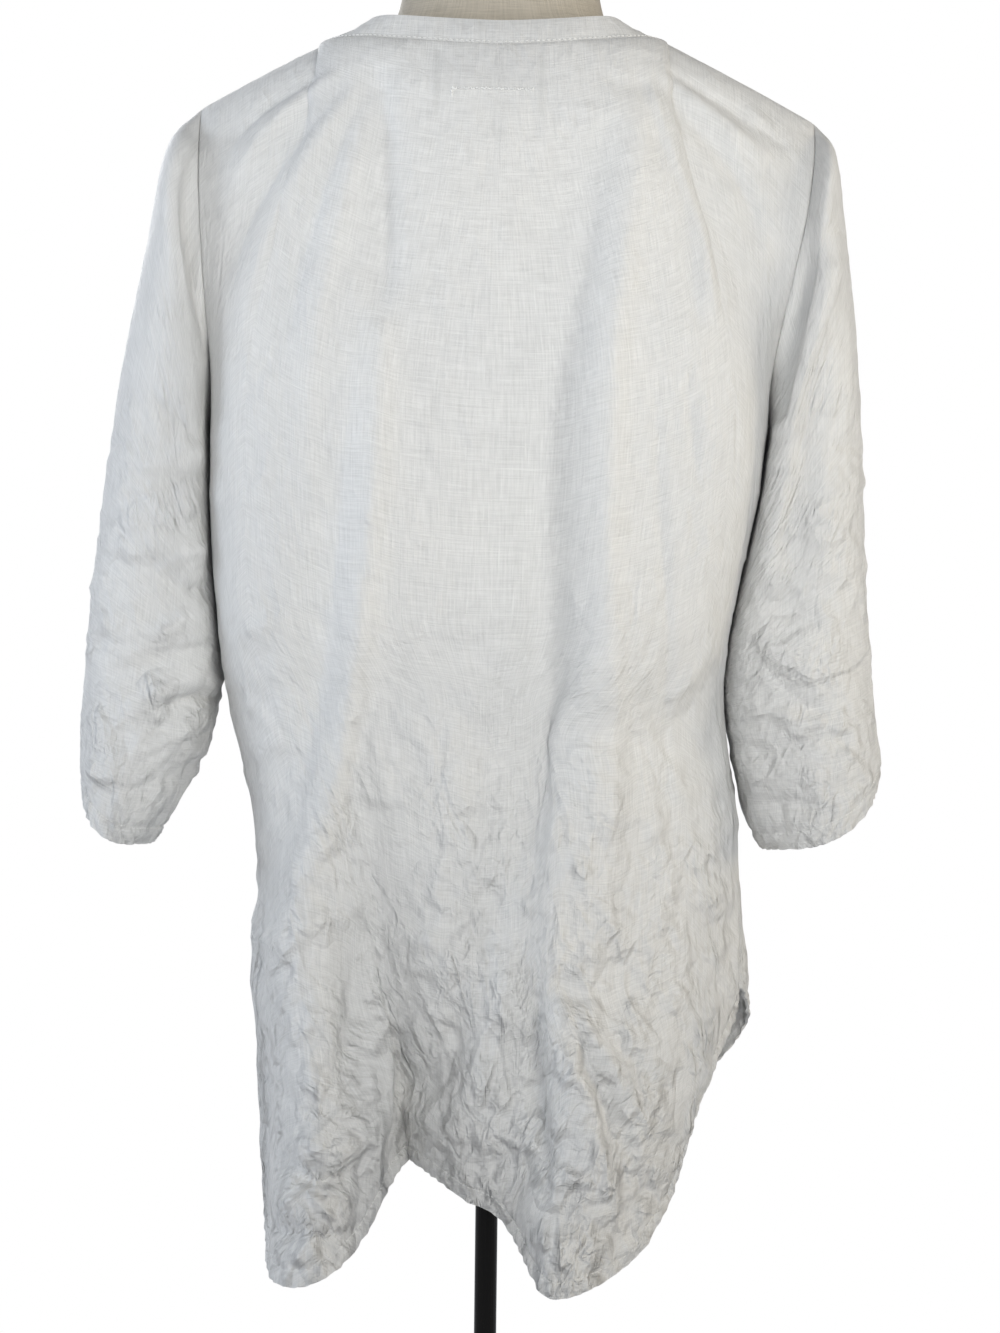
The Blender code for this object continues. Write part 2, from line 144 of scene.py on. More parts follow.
RIGHT_SLEEVE = [
    (-224, 1308, -185, 1114, 64, 0, 0),
    (-229, 1292, -184.6, 1104, 70, 0, 0),
    (-233, 1262, -181.8, 1088, 72, -1, 0),
    (-237, 1228, -178.2, 1064, 71, -2, 0),
    (-242, 1186, -173, 1038, 69, -3, 0),
    (-246, 1136, -167.2, 1010, 67, -4, 0),
    (-249, 1084, -162.1, 984, 66, -5, 0),
    (-251, 1030, -158.3, 960, 65, -6, 0),
    (-254, 974, -157.7, 934, 64, -6, 2),
    (-258, 930, -162, 904, 63, -6, 5),
    (-262, 902, -167, 876, 62, -6, 9),
    (-263, 886, -173, 854, 61, -6, 13),
    (-261, 877, -181, 836, 60, -6, 15),
    (-260, 873, -186, 829, 60, -6, 16),
]
ARMHOLE_REACH = {"back": 52, "front": 50}
ARMHOLE_SPACING = 1.6

# The dress form, one row for each level: height, half width, depth to the front and to the back
FORM = [
    (770, 136, 86, 80), (774, 143, 93, 87), (786, 148, 98, 92), (820, 149, 100, 94),
    (870, 145, 98, 94), (930, 134, 90, 90), (985, 122, 84, 84), (1050, 130, 98, 86),
    (1120, 146, 112, 90), (1180, 158, 106, 92), (1235, 172, 90, 90), (1270, 184, 76, 80),
    (1292, 190, 66, 70), (1308, 191.5, 57, 61), (1320, 189.5, 50, 54), (1329, 184, 46, 50),
    (1337, 174, 40, 43), (1345, 161, 34, 36), (1353.2, 148, 26, 29), (1361.2, 132.5, 21, 25),
    (1365, 121, 20, 26), (1368, 110, 20, 29), (1371, 100, 21, 33), (1375.5, 89, 26, 38),
    (1382, 79.5, 35, 42), (1390, 72.5, 44, 44), (1400, 68, 51, 45), (1414, 65.5, 55, 46),
    (1440, 64, 57, 47), (1447, 62, 55, 45), (1450, 57, 50, 40),
]
FORM_SQUARENESS = 2.2

# (height, half width, front, back) of the neck's root, where it runs down into the shoulders
NECK = [
    (1292, 128, 66, 70), (1308, 116, 63, 62), (1329, 102, 60, 58), (1345, 92, 57, 55),
    (1361, 83, 55, 52), (1375, 77, 54, 49), (1382, 74, 53, 48), (1400, 68, 52, 46), (1414, 65.5, 55, 46),
]
# ---- creases, as (height mm, half width mm, points (x, z) along it seen square on) ----
BACK_CREASES = [
    (-5.0, 10, (80, 1346), (76, 1290), (74, 1220), (74, 1168)),
    (8.0, 13, (74, 1200), (76, 1116), (84, 992), (96, 900), (112, 822), (124, 758)),
    (-7.0, 20, (100, 1130), (106, 1030), (116, 926), (134, 848), (150, 776)),
    (2.5, 12, (84, 1324), (100, 1258), (114, 1186), (122, 1108), (126, 1018)),
    (-3.2, 10, (88, 1336), (110, 1278), (128, 1212), (140, 1140)),
    (3.2, 9, (92, 1336), (124, 1284), (152, 1224), (168, 1166)),
    (-3.0, 8, (98, 1338), (136, 1290), (164, 1244), (180, 1198)),
    (2.8, 7, (108, 1342), (150, 1306), (176, 1270)),
    (-2.6, 6, (110, 1346), (156, 1320), (184, 1290)),
    (-11.0, 22, (-68, 1312), (-54, 1208), (-38, 1124), (-34, 1046), (-36, 968), (-32, 902), (-18, 840),
     (2, 780)),
    (8.0, 17, (-92, 1332), (-84, 1254), (-76, 1188), (-72, 1110), (-72, 1020), (-72, 928), (-70, 838),
     (-66, 760)),
    (-1.5, 4, (-102, 1156), (-108, 1060), (-114, 968), (-114, 890), (-118, 826)),
    (3.2, 9, (-94, 1344), (-112, 1286), (-132, 1228), (-140, 1170)),
    (-3.2, 8, (-90, 1344), (-104, 1300), (-124, 1242), (-130, 1170)),
    (-3.2, 8, (-100, 1344), (-130, 1312), (-160, 1274), (-174, 1228)),
    (2.8, 7, (-108, 1344), (-144, 1316), (-180, 1288)),
    (-2.6, 6, (-110, 1348), (-152, 1326), (-196, 1298)),
    (-2.0, 5, (-126, 1138), (-130, 1098), (-132, 1066)),
    (-4.0, 22, (-6, 810), (6, 766), (22, 720), (38, 680), (44, 654)),
    (3.0, 10, (-20, 812), (-12, 758), (-6, 700), (-2, 654)),
    (4.0, 10, (-40, 772), (-48, 720), (-64, 662), (-74, 604), (-78, 564)),
    (-3.0, 8, (-38, 768), (-54, 726), (-72, 682), (-88, 636)),
    (-3.0, 9, (-32, 760), (-30, 708), (-34, 656), (-40, 604)),
    (2.5, 7, (-46, 740), (-72, 702), (-100, 662)),
    (-2.0, 6, (-66, 728), (-98, 694), (-112, 670)),
    (4.0, 9, (72, 744), (72, 692), (76, 654), (78, 622)),
    (-2.5, 8, (90, 758), (88, 706), (92, 666)),
    (3.0, 6, (122, 654), (102, 640), (78, 646)),
    (-3.0, 6, (132, 634), (106, 624), (80, 628)),
    (3.0, 7, (134, 602), (108, 612), (84, 602)),
    (-2.5, 6, (138, 582), (114, 592), (88, 582)),
    (-2.0, 5, (116, 672), (96, 660), (76, 664)),
    (3.0, 5, (-80, 574), (-94, 580), (-110, 578)),
    (1.5, 5, (62, 778), (38, 772), (12, 778)),
    (-1.5, 5, (46, 798), (22, 788), (0, 794)),
    (1.5, 6, (68, 742), (38, 732), (6, 740)),
    (1.5, 5, (176, 964), (150, 976), (122, 984)),
    (-1.0, 4, (164, 990), (126, 982), (80, 960)),
    (1.5, 5, (166, 926), (150, 912), (132, 888)),
    (1.5, 5, (-144, 968), (-128, 942), (-114, 930)),
    (-1.5, 5, (-148, 956), (-134, 930), (-118, 910)),
    (1.2, 4, (-4, 966), (-14, 950), (-28, 960)),
    (1.2, 4, (40, 888), (28, 878), (14, 884)),
]
FRONT_CREASES = [
    (-3.0, 9, (104, 1340), (92, 1270), (88, 1190)),
    (3.5, 13, (92, 1240), (98, 1120), (104, 1000), (112, 880), (118, 790)),
    (2.0, 9, (110, 1340), (136, 1280), (160, 1212)),
    (-2.0, 8, (116, 1344), (150, 1300), (178, 1240)),
    (1.6, 7, (120, 1350), (156, 1318), (186, 1284)),
    (-3.0, 9, (-98, 1342), (-88, 1276), (-84, 1180)),
    (3.0, 12, (-88, 1250), (-94, 1130), (-98, 1010), (-110, 890)),
    (-2.0, 8, (-110, 1344), (-140, 1296), (-166, 1230)),
    (1.8, 7, (-114, 1350), (-158, 1316), (-188, 1280)),
    (-5.0, 22, (6, 1230), (12, 1100), (8, 980), (2, 860)),
    (4.0, 14, (-40, 1060), (-36, 940), (-44, 800), (-50, 690)),
    (-3.0, 12, (56, 1020), (50, 900), (54, 780), (48, 670)),
    (3.0, 9, (130, 820), (120, 750), (124, 680)),
    (-3.0, 9, (-128, 830), (-120, 760), (-126, 690)),
    (2.5, 6, (120, 700), (96, 690), (70, 696)),
    (-2.0, 6, (-60, 720), (-90, 700), (-118, 712)),
    (1.8, 6, (30, 760), (0, 748), (-30, 756)),
    (1.5, 5, (170, 950), (146, 962), (120, 958)),
    (-1.5, 5, (-150, 944), (-130, 930), (-106, 936)),
]
LEFT_CREASES = [
    (3.0, 7, (208, 1306), (218, 1266), (208, 1208), (188, 1132)),
    (-10.0, 7, (202, 1290), (203, 1250), (199, 1206), (193, 1150)),
    (-3.0, 6, (230, 1124), (210, 1110), (192, 1090)),
    (3.0, 7, (236, 1076), (212, 1084), (190, 1098)),
    (-2.5, 6, (248, 1056), (218, 1064), (190, 1078)),
    (3.0, 7, (242, 1044), (216, 1030), (188, 1018)),
    (-4.0, 7, (222, 1008), (202, 998), (186, 1002)),
    (3.0, 7, (254, 964), (220, 972), (188, 988)),
    (-2.5, 6, (256, 938), (224, 952), (188, 964)),
    (3.0, 7, (250, 912), (220, 932), (190, 948)),
    (-3.0, 6, (234, 924), (208, 924), (190, 932)),
    (2.5, 6, (252, 884), (226, 894), (200, 906)),
    (-3.0, 6, (246, 864), (220, 872), (200, 886)),
]
RIGHT_CREASES = [
    (-13.0, 9, (-222, 1246), (-204, 1202), (-192, 1150), (-186, 1112)),
    (6.0, 8, (-230, 1240), (-214, 1190), (-200, 1140), (-192, 1100)),
    (-5.0, 14, (-210, 1162), (-210, 1116), (-202, 1048), (-196, 996), (-194, 962)),
    (2.0, 8, (-226, 1222), (-232, 1156), (-234, 1096)),
    (3.0, 10, (-198, 1116), (-186, 1048), (-172, 996)),
    (-3.0, 6, (-170, 970), (-196, 936), (-230, 916)),
    (3.0, 6, (-168, 930), (-204, 916), (-244, 920)),
    (-3.0, 6, (-170, 890), (-204, 900), (-250, 908)),
    (3.0, 6, (-174, 876), (-210, 880), (-248, 900)),
    (-3.0, 5, (-178, 864), (-218, 860), (-248, 880)),
    (2.5, 5, (-184, 854), (-218, 850), (-244, 868)),
    (2.0, 7, (-176, 962), (-204, 970), (-240, 996)),
    (-2.0, 7, (-168, 996), (-202, 996), (-236, 1022)),
]

# ---- resolution of the shown cloth ----
PANEL_ACROSS, PANEL_YOKE, PANEL_DROP = 200, 78, 146
HEM_ROWS, HEM_SHARE = 10, 0.036     # rows of the mesh kept for the turned hem
SLEEVE_ROUND, SLEEVE_DOWN = 132, 170
HEM_BAND = 11.0         # width of the turned hem
CUFF_BAND = 13.0        # width of the turned cuff
SMALL_CREASE_GAIN = 1.5     # how much deeper the sleeves' small creases are than their table says
BAND_STEPS, BAND_ROWS = 120, 9
HEM_PITCH, CUFF_PITCH = 10.5, 11.0      # spacing of the puckers along a turned edge
STITCH_FROM_FOLD = 0.8      # stitches of a hem or cuff, in from the top of its turning


# ---- the cloth's forms: the CAD's, but squarer beside the arms ----
def table(rows, column, at):
    """A smooth curve through one column of a table, read at the given places."""
    rows = sorted(rows)
    place = np.array([row[0] for row in rows], float)
    value = np.array([row[column] for row in rows], float)
    slope = np.gradient(value, place)
    at = np.clip(at, place[0], place[-1])
    i = np.clip(np.searchsorted(place, at) - 1, 0, len(place) - 2)
    step = place[i + 1] - place[i]
    t = (at - place[i]) / step
    rise = t * t * (3 - 2 * t)
    ease_in = t * (1 - t) ** 2 * step
    ease_out = t * t * (1 - t) * step
    return value[i] + (value[i + 1] - value[i]) * rise + slope[i] * ease_in - slope[i + 1] * ease_out


def smooth(t):
    t = np.clip(t, 0, 1)
    return t * t * (3 - 2 * t)


def power(value, exponent):
    return np.sign(value) * np.abs(value) ** exponent


def by_side(u, pair):
    return np.where(u >= 0, pair[1], pair[-1])


def top_edge(u, side):
    """The panel's top edge: both shoulder seams, with the neckline between them."""
    corner_x, corner_z = by_side(u, CORNER_X), by_side(u, CORNER_Z)
    reach = np.clip((np.abs(u) - NECK_SHARE) / (1 - NECK_SHARE), 0, 1)
    x = corner_x + (by_side(u, SHOULDER_X) - corner_x) * reach
    z = corner_z + (by_side(u, SHOULDER_Z) - corner_z) * reach
    y = np.zeros_like(x)
    around = np.clip(np.abs(u) / NECK_SHARE, 0, 1)
    inside = np.abs(u) < NECK_SHARE
    if side == "back":
        neck_x = corner_x * np.sin(around * np.pi / 2)
        neck_y = NECK_BACK["depth"] * np.cos(around * np.pi / 2)
        neck_z = NECK_BACK["height"] + (corner_z - NECK_BACK["height"]) * around ** 2
        neck_z = neck_z + NECK_BACK["rise"] * np.sin(np.pi * around ** 1.5)
    else:
        neck_x = corner_x * around
        neck_y = -NECK_FRONT["depth"] * (1 - around ** 2) ** 0.75
        neck_z = NECK_FRONT["height"] + (corner_z - NECK_FRONT["height"]) * around ** NECK_FRONT["curve"]
    return np.where(inside, neck_x, x), np.where(inside, neck_y, y), np.where(inside, neck_z, z)


def hanging(u, z, side):
    """Where the cloth hangs below the underarm, at a place across and a height."""
    angle = (1 - u) * np.pi / 2
    beside_arm = smooth((z - 925) / 60)
    right_side = smooth(-u * 4) * smooth((z - 690) / 60) * smooth((960 - z) / 60)
    squareness = 2 / (table(BODY, 5, z) + 0.9 * beside_arm - 0.8 * right_side)
    half_width = np.where(u >= 0, table(BODY, 1, z), table(BODY, 2, z))
    depth = table(BODY, 3 if side == "back" else 4, z)
    x = half_width * power(np.cos(angle), squareness)
    y = depth * np.abs(np.sin(angle)) ** squareness
    hem = table(BACK_HEM if side == "back" else FRONT_HEM, 1, u)
    for top, bottom, start, out, lean, width, opening in BACK_FOLDS if side == "back" else FRONT_FOLDS:
        fall = np.clip((start - z) / (start - hem), 0, 1) ** opening
        middle = top + (bottom - top) * fall
        away = np.clip(np.abs(u - middle) / width, 0, 1)
        bump = 0.5 + 0.5 * np.cos(np.pi * away)
        y = y + out * fall * bump
        x = x + lean * fall * bump
    return x, (y if side == "back" else -y)


def panel_grid(side, across, yoke_steps, drop_steps):
    """Mid surface of a body panel, as rows from the shoulders to the hem."""
    sign = 1 if side == "back" else -1
    u = np.linspace(1, -1, across + 1)
    top_x, top_y, top_z = top_edge(u, side)
    arm_x, arm_y = hanging(u, np.full_like(u, UNDERARM), side)
    rows = []
    for w in np.linspace(0, 1, yoke_steps + 1)[:-1] ** ARMHOLE_SPACING:
        near_neck = smooth(1.12 - np.abs(u) / 0.8)
        roundness = 2.9 - 1.2 * near_neck
        rise = (1 - (1 - w) ** roundness) ** (1 / roundness)
        y = top_y + (arm_y - top_y) * rise
        edge = smooth((np.abs(u) - 0.35) / 0.65) * ARMHOLE_REACH[side] * np.sin(np.pi * w) ** 0.8
        y = np.where(np.abs(u) > 0.35, sign * np.hypot(y, edge), y)
        x = top_x + (arm_x - top_x) * smooth(w)
        z = top_z + (UNDERARM - top_z) * w
        rows.append(np.stack([x, y, z], axis=1))
    hem = table(BACK_HEM if side == "back" else FRONT_HEM, 1, u)
    share = HEM_SHARE if drop_steps > HEM_ROWS else 0.5
    rows_above = max(drop_steps + 1 - HEM_ROWS, 1)
    above_hem = np.linspace(0, 1 - share, rows_above + 1)[:-1]
    down = np.concatenate([above_hem, np.linspace(1 - share, 1, HEM_ROWS)])
    for q in down:
        z = UNDERARM + (hem - UNDERARM) * q
        x, y = hanging(u, z, side)
        rows.append(np.stack([x, y, z], axis=1))
    return np.array(rows)


def pull_back(grid, gap=SEAM_GAP / 2 + 0.06):
    """Draws all four edges of a grid back from its seams."""
    grid = grid.copy()
    for edge, inner in ((0, 1), (-1, -2)):
        for view in (grid, grid.transpose(1, 0, 2)):
            inward = view[inner] - view[edge]
            length = np.linalg.norm(inward, axis=1, keepdims=True)
            view[edge] = view[edge] + inward / length * gap
    return grid


def sleeve_grid(sections, hand, sides):
    """Mid surface of a sleeve: the armhole first, then one ring for each section."""
    half = sides // 2
    shape = np.linspace(0, 1, half + 1) ** ARMHOLE_SPACING
    loops = []
    for side in ("back", "front"):
        sign = 1 if side == "back" else -1
        underarm_x = hanging(np.array([float(hand)]), np.array([float(UNDERARM)]), side)[0]
        x = SHOULDER_X[hand] + (underarm_x - SHOULDER_X[hand]) * smooth(shape)
        y = sign * ARMHOLE_REACH[side] * np.sin(np.pi * shape) ** 0.8
        z = SHOULDER_Z[hand] + (UNDERARM - SHOULDER_Z[hand]) * shape
        loops.append(np.stack([x + hand * (CLOTH / 2 + SEAM_GAP + 0.2), y, z], axis=1))
    back, front = loops
    rings = [np.concatenate([back, front[-2:0:-1]])]
    angle = np.linspace(0, 2 * np.pi, sides, endpoint=False)
    for out_x, out_z, in_x, in_z, depth, shift, sag in sections:
        middle = np.array([(out_x + in_x) / 2, shift, (out_z + in_z) / 2])
        reach = np.array([(out_x - in_x) / 2, 0, (out_z - in_z) / 2])
        roundness = 0.9 - 0.28 * smooth(-np.cos(angle) * 3) * smooth((out_z - 900) / 160)
        across = power(np.cos(angle), roundness)[:, None] * reach
        deep = power(np.sin(angle), roundness)[:, None] * np.array([0, depth, 0])
        deep[:, 2] -= sag * np.sin(angle) ** 2 * (1 + 0.6 * np.cos(angle))
        rings.append(middle + across + deep)
    return np.array(rings)


def band_grid(side, steps, rows):
    """Neck band: one row along the neckline seam, and rows up to its free edge."""
    t = np.linspace(1, -1, steps + 1)
    x, y, z = top_edge(t * NECK_SHARE * 0.9999, side)
    around = np.abs(t)
    if side == "back":
        flat = smooth((around - 0.25) / 0.7)
        inward = np.stack([-0.93 * np.sign(t) * flat, -0.52 + 0.32 * flat, 0.85 - 0.62 * flat], axis=1)
    else:
        steep = smooth((1 - around) / 0.5)
        sideways = -np.sign(t) * (0.93 - 0.93 * smooth((0.25 - around) / 0.25)) * (1 - 0.35 * steep)
        inward = np.stack([sideways, -0.2 + 0.5 * steep, 0.33 + 0.55 * steep], axis=1)
    inward = inward / np.linalg.norm(inward, axis=1, keepdims=True)
    seam = np.stack([x, y, z], axis=1)
    lift = -0.25
    return np.array([seam + inward * (lift + BAND_HEIGHT * step) for step in np.linspace(0, 1, rows)])


def label_grid(steps):
    """The blank label: a rectangle of the back panel's own points, moved in."""
    panel = panel_grid("back", across=96, yoke_steps=60, drop_steps=2)
    across = np.linspace(LABEL["left"], LABEL["right"], steps + 1)
    heights = np.linspace(LABEL["top"], LABEL["bottom"], steps + 1)
    columns = []
    for x in across:
        found = np.array([[np.interp(-x, -row[:, 0], row[:, axis]) for axis in (1, 2)] for row in panel])
        y = np.interp(-heights, -found[:, 1], found[:, 0])
        columns.append(np.stack([np.full(steps + 1, x), y, heights], axis=1))
    inset = CLOTH / 2 + 3 * SEAM_GAP + LABEL_CLOTH / 2
    grid = np.array(columns).transpose(1, 0, 2)
    return grid + normals(grid, False) * inset


def normals(grid, closed):
    """Unit normals of a grid of points."""
    if closed:
        along = np.roll(grid, -1, axis=1) - np.roll(grid, 1, axis=1)
    else:
        along = np.gradient(grid, axis=1)
    down = np.gradient(grid, axis=0)
    normal = np.cross(along, down)
    return normal / np.linalg.norm(normal, axis=2, keepdims=True)

# ---- noise and creases ----
def noise(x, y, seed):
    """Smooth random heights over a plane, about -1 to 1."""
    turn = np.random.default_rng(seed).uniform(0, 2 * np.pi, (128, 128))
    ix, iy = np.floor(x).astype(int), np.floor(y).astype(int)
    fx, fy = x - ix, y - iy

    def corner(dx, dy):
        angle = turn[(ix + dx) % 128, (iy + dy) % 128]
        return np.cos(angle) * (fx - dx) + np.sin(angle) * (fy - dy)

    sx = fx ** 3 * (fx * (fx * 6 - 15) + 10)
    sy = fy ** 3 * (fy * (fy * 6 - 15) + 10)
    low = corner(0, 0) + (corner(1, 0) - corner(0, 0)) * sx
    high = corner(0, 1) + (corner(1, 1) - corner(0, 1)) * sx
    return 1.5 * (low + (high - low) * sy)


def crumple(x, z, size, seed, turn=0.0):
    """Sharp-ridged rumpling of one size, with its lines bent about."""
    c, s = math.cos(turn), math.sin(turn)
    a, b = (x * c + z * s) / size, (z * c - x * s) / size * 0.62
    a, b = a + 0.7 * noise(a / 2, b / 2, seed + 1), b + 0.7 * noise(a / 2 + 9, b / 2, seed + 2)
    return 0.45 - np.abs(noise(a, b, seed))


def curve_through(points, steps):
    """Points along a smooth line through the given ones."""
    points = np.array(points, float)
    place = np.arange(len(points), dtype=float)
    at = np.linspace(0, place[-1], steps + 1)
    rows = np.column_stack([place, points])
    return np.stack([table([tuple(r) for r in rows], column, at) for column in (1, 2)], axis=1)


def crease(x, z, height, width, points, steps=14):
    """Heights of one soft crease, steeper on one side, that fades at both ends."""
    path = curve_through(points, steps)
    reach = width * 4
    low, high = path.min(0) - reach, path.max(0) + reach
    near = (x > low[0]) & (x < high[0]) & (z > low[1]) & (z < high[1])
    out = np.zeros_like(x)
    if not near.any():
        return out
    px, pz = x[near], z[near]
    best = np.full(px.shape, 1e9)
    along = np.zeros_like(px)
    side = np.zeros_like(px)
    for i in range(steps):
        a, b = path[i], path[i + 1]
        run = b - a
        t = np.clip(((px - a[0]) * run[0] + (pz - a[1]) * run[1]) / (run @ run), 0, 1)
        dx, dz = px - a[0] - run[0] * t, pz - a[1] - run[1] * t
        away = np.hypot(dx, dz)
        closer = away < best
        best = np.where(closer, away, best)
        along = np.where(closer, (i + t) / steps, along)
        side = np.where(closer, np.tanh((run[0] * dz - run[1] * dx) / np.hypot(*run) / width * 2), side)
    spread = best / (width * (1 + 0.3 * side))
    out[near] = height * np.sin(np.pi * along) ** 0.6 * np.exp(1 - np.sqrt(1 + 2.6 * spread ** 2))
    return out


def scattered(x, z, seed, count, box, length, height, width, heading, sway):
    """Many small random creases over a box of the cloth."""
    rng = np.random.default_rng(seed)
    out = np.zeros_like(x)
    for _ in range(count):
        middle = np.array([rng.uniform(box[0], box[1]), rng.uniform(box[2], box[3])])
        turn = heading + rng.normal(0, sway)
        half = rng.uniform(*length) / 2
        run = np.array([math.cos(turn), math.sin(turn)]) * half
        bend = np.array([-run[1], run[0]]) * rng.uniform(-0.5, 0.5)
        tall = rng.uniform(*height) * rng.choice([-1, 1, 1])
        wide = rng.uniform(*width)
        out += crease(x, z, tall, wide, (middle - run, middle + bend, middle + run), 5)
    return out


def lower(z, top, bottom):
    """0 above a height, 1 below another."""
    return smooth((top - z) / (top - bottom))


# Each panel's relief: gain of its creases, and how much more in the tail; random creases (seed, count,
# box, lengths, heights, half widths, heading, sway); the heights where rumpling starts and is full; and
# rumpling (height at the top, what the tail adds, size, seed, turn).
RELIEF = {
    "back": dict(creases=BACK_CREASES, gain=1.7, tail_gain=0.8, low=(1150, 720), random=[
        (11, 150, (-170, 180, 560, 900), (26, 80), (0.8, 3.0), (3, 6), 1.3, 0.8),
        (12, 90, (-185, 185, 880, 1150), (24, 80), (0.4, 1.5), (2.5, 5), 1.2, 0.7),
        (13, 40, (-190, 190, 1130, 1330), (30, 90), (0.2, 0.6), (3, 7), 1.5, 0.4),
    ], rumpling=[(0.8, 2.4, 40, 31, 0.2), (0.5, 1.3, 20, 41, -0.3), (0.2, 0.5, 12, 51, 0.5)]),
    "front": dict(creases=FRONT_CREASES, gain=1.5, tail_gain=0.0, low=(1150, 760), random=[
        (21, 110, (-170, 180, 640, 900), (26, 80), (0.8, 2.8), (3, 6), 1.7, 0.8),
        (22, 80, (-185, 185, 880, 1150), (24, 80), (0.4, 1.5), (2.5, 5), 1.6, 0.7),
        (23, 40, (-190, 190, 1100, 1330), (30, 90), (0.2, 0.6), (3, 7), 1.5, 0.4),
    ], rumpling=[(0.8, 2.2, 42, 131, -0.2), (0.5, 1.2, 21, 141, 0.4), (0.2, 0.5, 11, 151, 0.1)]),
}


def panel_relief(x, z, side):
    """Heights of all the creases and rumpling of a body panel."""
    kind = RELIEF[side]
    out = np.zeros_like(x)
    for height, width, *points in kind["creases"]:
        stronger = 1 + kind["tail_gain"] * lower(z, 800, 700)
        out += crease(x, z, height * kind["gain"], width, points) * stronger
    for row in kind["random"]:
        out += scattered(x, z, *row)
    low = lower(z, *kind["low"])
    for at_top, in_tail, size, seed, turn in kind["rumpling"]:
        out += (at_top + in_tail * low) * crumple(x, z, size, seed, turn)
    return out


def sleeve_relief(x, y, z, hand):
    facing = smooth(0.5 + y / 60)
    out = np.zeros_like(x)
    for height, width, *points in LEFT_CREASES if hand > 0 else RIGHT_CREASES:
        height = height * (SMALL_CREASE_GAIN if abs(height) < 5 else 1)
        out += crease(x, z, height, width, points) * facing
        moved = [(px + hand * 6, 2030 - pz - 22) if pz < 1130 else (px, pz - 30) for px, pz in points]
        out += crease(x, z, -height * 0.8, width * 1.1, moved) * (1 - facing)
    box = (hand * 250, hand * 185) if hand < 0 else (185, 270)
    seed = 60 + hand
    slant = -0.35 * hand
    for own_seed, heading, share in ((seed, slant, facing), (seed + 7, -slant, 1 - facing)):
        out += scattered(x, z, own_seed, 60, (*box, 850, 1100), (22, 70), (0.6, 2.0), (2.5, 4.5),
                         heading, 0.5) * share
    low = lower(z, 1180, 930)
    across = x + y * 0.6
    out += (0.5 + 0.7 * low) * crumple(across, z, 32, seed + 20, 1.2 * hand)
    out += (0.5 + 0.9 * low) * crumple(across, z, 16, seed + 30, 1.0 * hand)
    out += (0.2 + 0.4 * low) * crumple(across, z, 9, seed + 40, 0.3)
    return out


# ---- meshes ----
def lengths(grid, axis):
    """Running length along a grid's rows or columns."""
    step = np.linalg.norm(np.diff(grid, axis=axis), axis=2)
    start = np.zeros_like(step[:1] if axis == 0 else step[:, :1])
    return np.concatenate([start, np.cumsum(step, axis=axis)], axis=axis)


def shell(name, grid, outward, thickness, material, closed=False):
    """A thin closed wall about a grid of points in mm, with its flat cloth size as UVs in metres."""
    rows, columns = grid.shape[:2]
    half = outward * thickness[..., None] / 2
    points = np.concatenate([(grid + half).reshape(-1, 3), (grid - half).reshape(-1, 3)]) * MM
    count = rows * columns
    last = columns if closed else columns - 1
    r, c = np.meshgrid(np.arange(rows - 1), np.arange(last), indexing="ij")
    r, c = r.ravel(), c.ravel()
    after = (c + 1) % columns
    here, below = r * columns, (r + 1) * columns
    outer = np.stack([here + c, here + after, below + after, below + c], axis=1)
    down = lengths(grid, 0).mean(1) if closed else lengths(grid, 0)
    v = np.repeat(down[:, None], columns, axis=1) if closed else down
    across = lengths(grid, 1).mean(0)
    wide = across[-1] + (across[-1] - across[-2] if closed else 0)
    u_here, u_after = across[c], np.where(c + 1 < columns, across[after], wide)
    uv = np.stack([
        np.stack([u_here, v[r, c]], axis=1), np.stack([u_after, v[r, after]], axis=1),
        np.stack([u_after, v[r + 1, after]], axis=1), np.stack([u_here, v[r + 1, c]], axis=1)], axis=1)
    mid = rows // 2, columns // 2
    test = np.cross(grid[mid[0], mid[1] + 1] - grid[mid], grid[mid[0] + 1, mid[1]] - grid[mid])
    flip = test @ outward[mid] < 0
    inner = (outer + count)[:, ::-1]
    faces = [outer, inner]
    uvs = [uv, uv[:, ::-1]]

    corner_uv = np.stack([np.repeat(across[None], rows, axis=0), v], axis=2).reshape(-1, 2)

    def rim(line, turned_over):
        quad = np.stack([line[:-1], line[1:], line[1:] + count, line[:-1] + count], axis=1)
        start, end = corner_uv[line[:-1]], corner_uv[line[1:]]
        flat = np.stack([start, end, end, start], axis=1)
        faces.append(quad[:, ::-1] if turned_over else quad)
        uvs.append(flat[:, ::-1] if turned_over else flat)

    ring = np.arange(columns)
    if closed:
        ring = np.append(ring, 0)
    rim(ring, True)
    rim(ring + (rows - 1) * columns, False)
    if not closed:
        line = np.arange(rows) * columns
        rim(line, False)
        rim(line + columns - 1, True)
    faces = np.concatenate(faces)
    uvs = np.concatenate(uvs)
    if flip:
        faces, uvs = faces[:, ::-1], uvs[:, ::-1]
    return mesh_of(name, points, faces, material, uvs * MM)


def mesh_of(name, points, quads, material, uvs=None):
    mesh = bpy.data.meshes.new(name)
    mesh.vertices.add(len(points))
    mesh.vertices.foreach_set("co", np.asarray(points, np.float32).ravel())
    mesh.loops.add(quads.size)
    mesh.loops.foreach_set("vertex_index", quads.astype(np.int32).ravel())
    mesh.polygons.add(len(quads))
    mesh.polygons.foreach_set("loop_start", np.arange(0, quads.size, 4, dtype=np.int32))
    if uvs is not None:
        layer = mesh.uv_layers.new(name="cloth")
        layer.data.foreach_set("uv", uvs.astype(np.float32).ravel())
    mesh.update(calc_edges=True)
    mesh.validate()
    mesh.materials.append(material)
    mesh.shade_smooth()
    mesh.set_sharp_from_angle(angle=math.radians(60))
    thing = bpy.data.objects.new(name, mesh)
    bpy.context.scene.collection.objects.link(thing)
    return thing


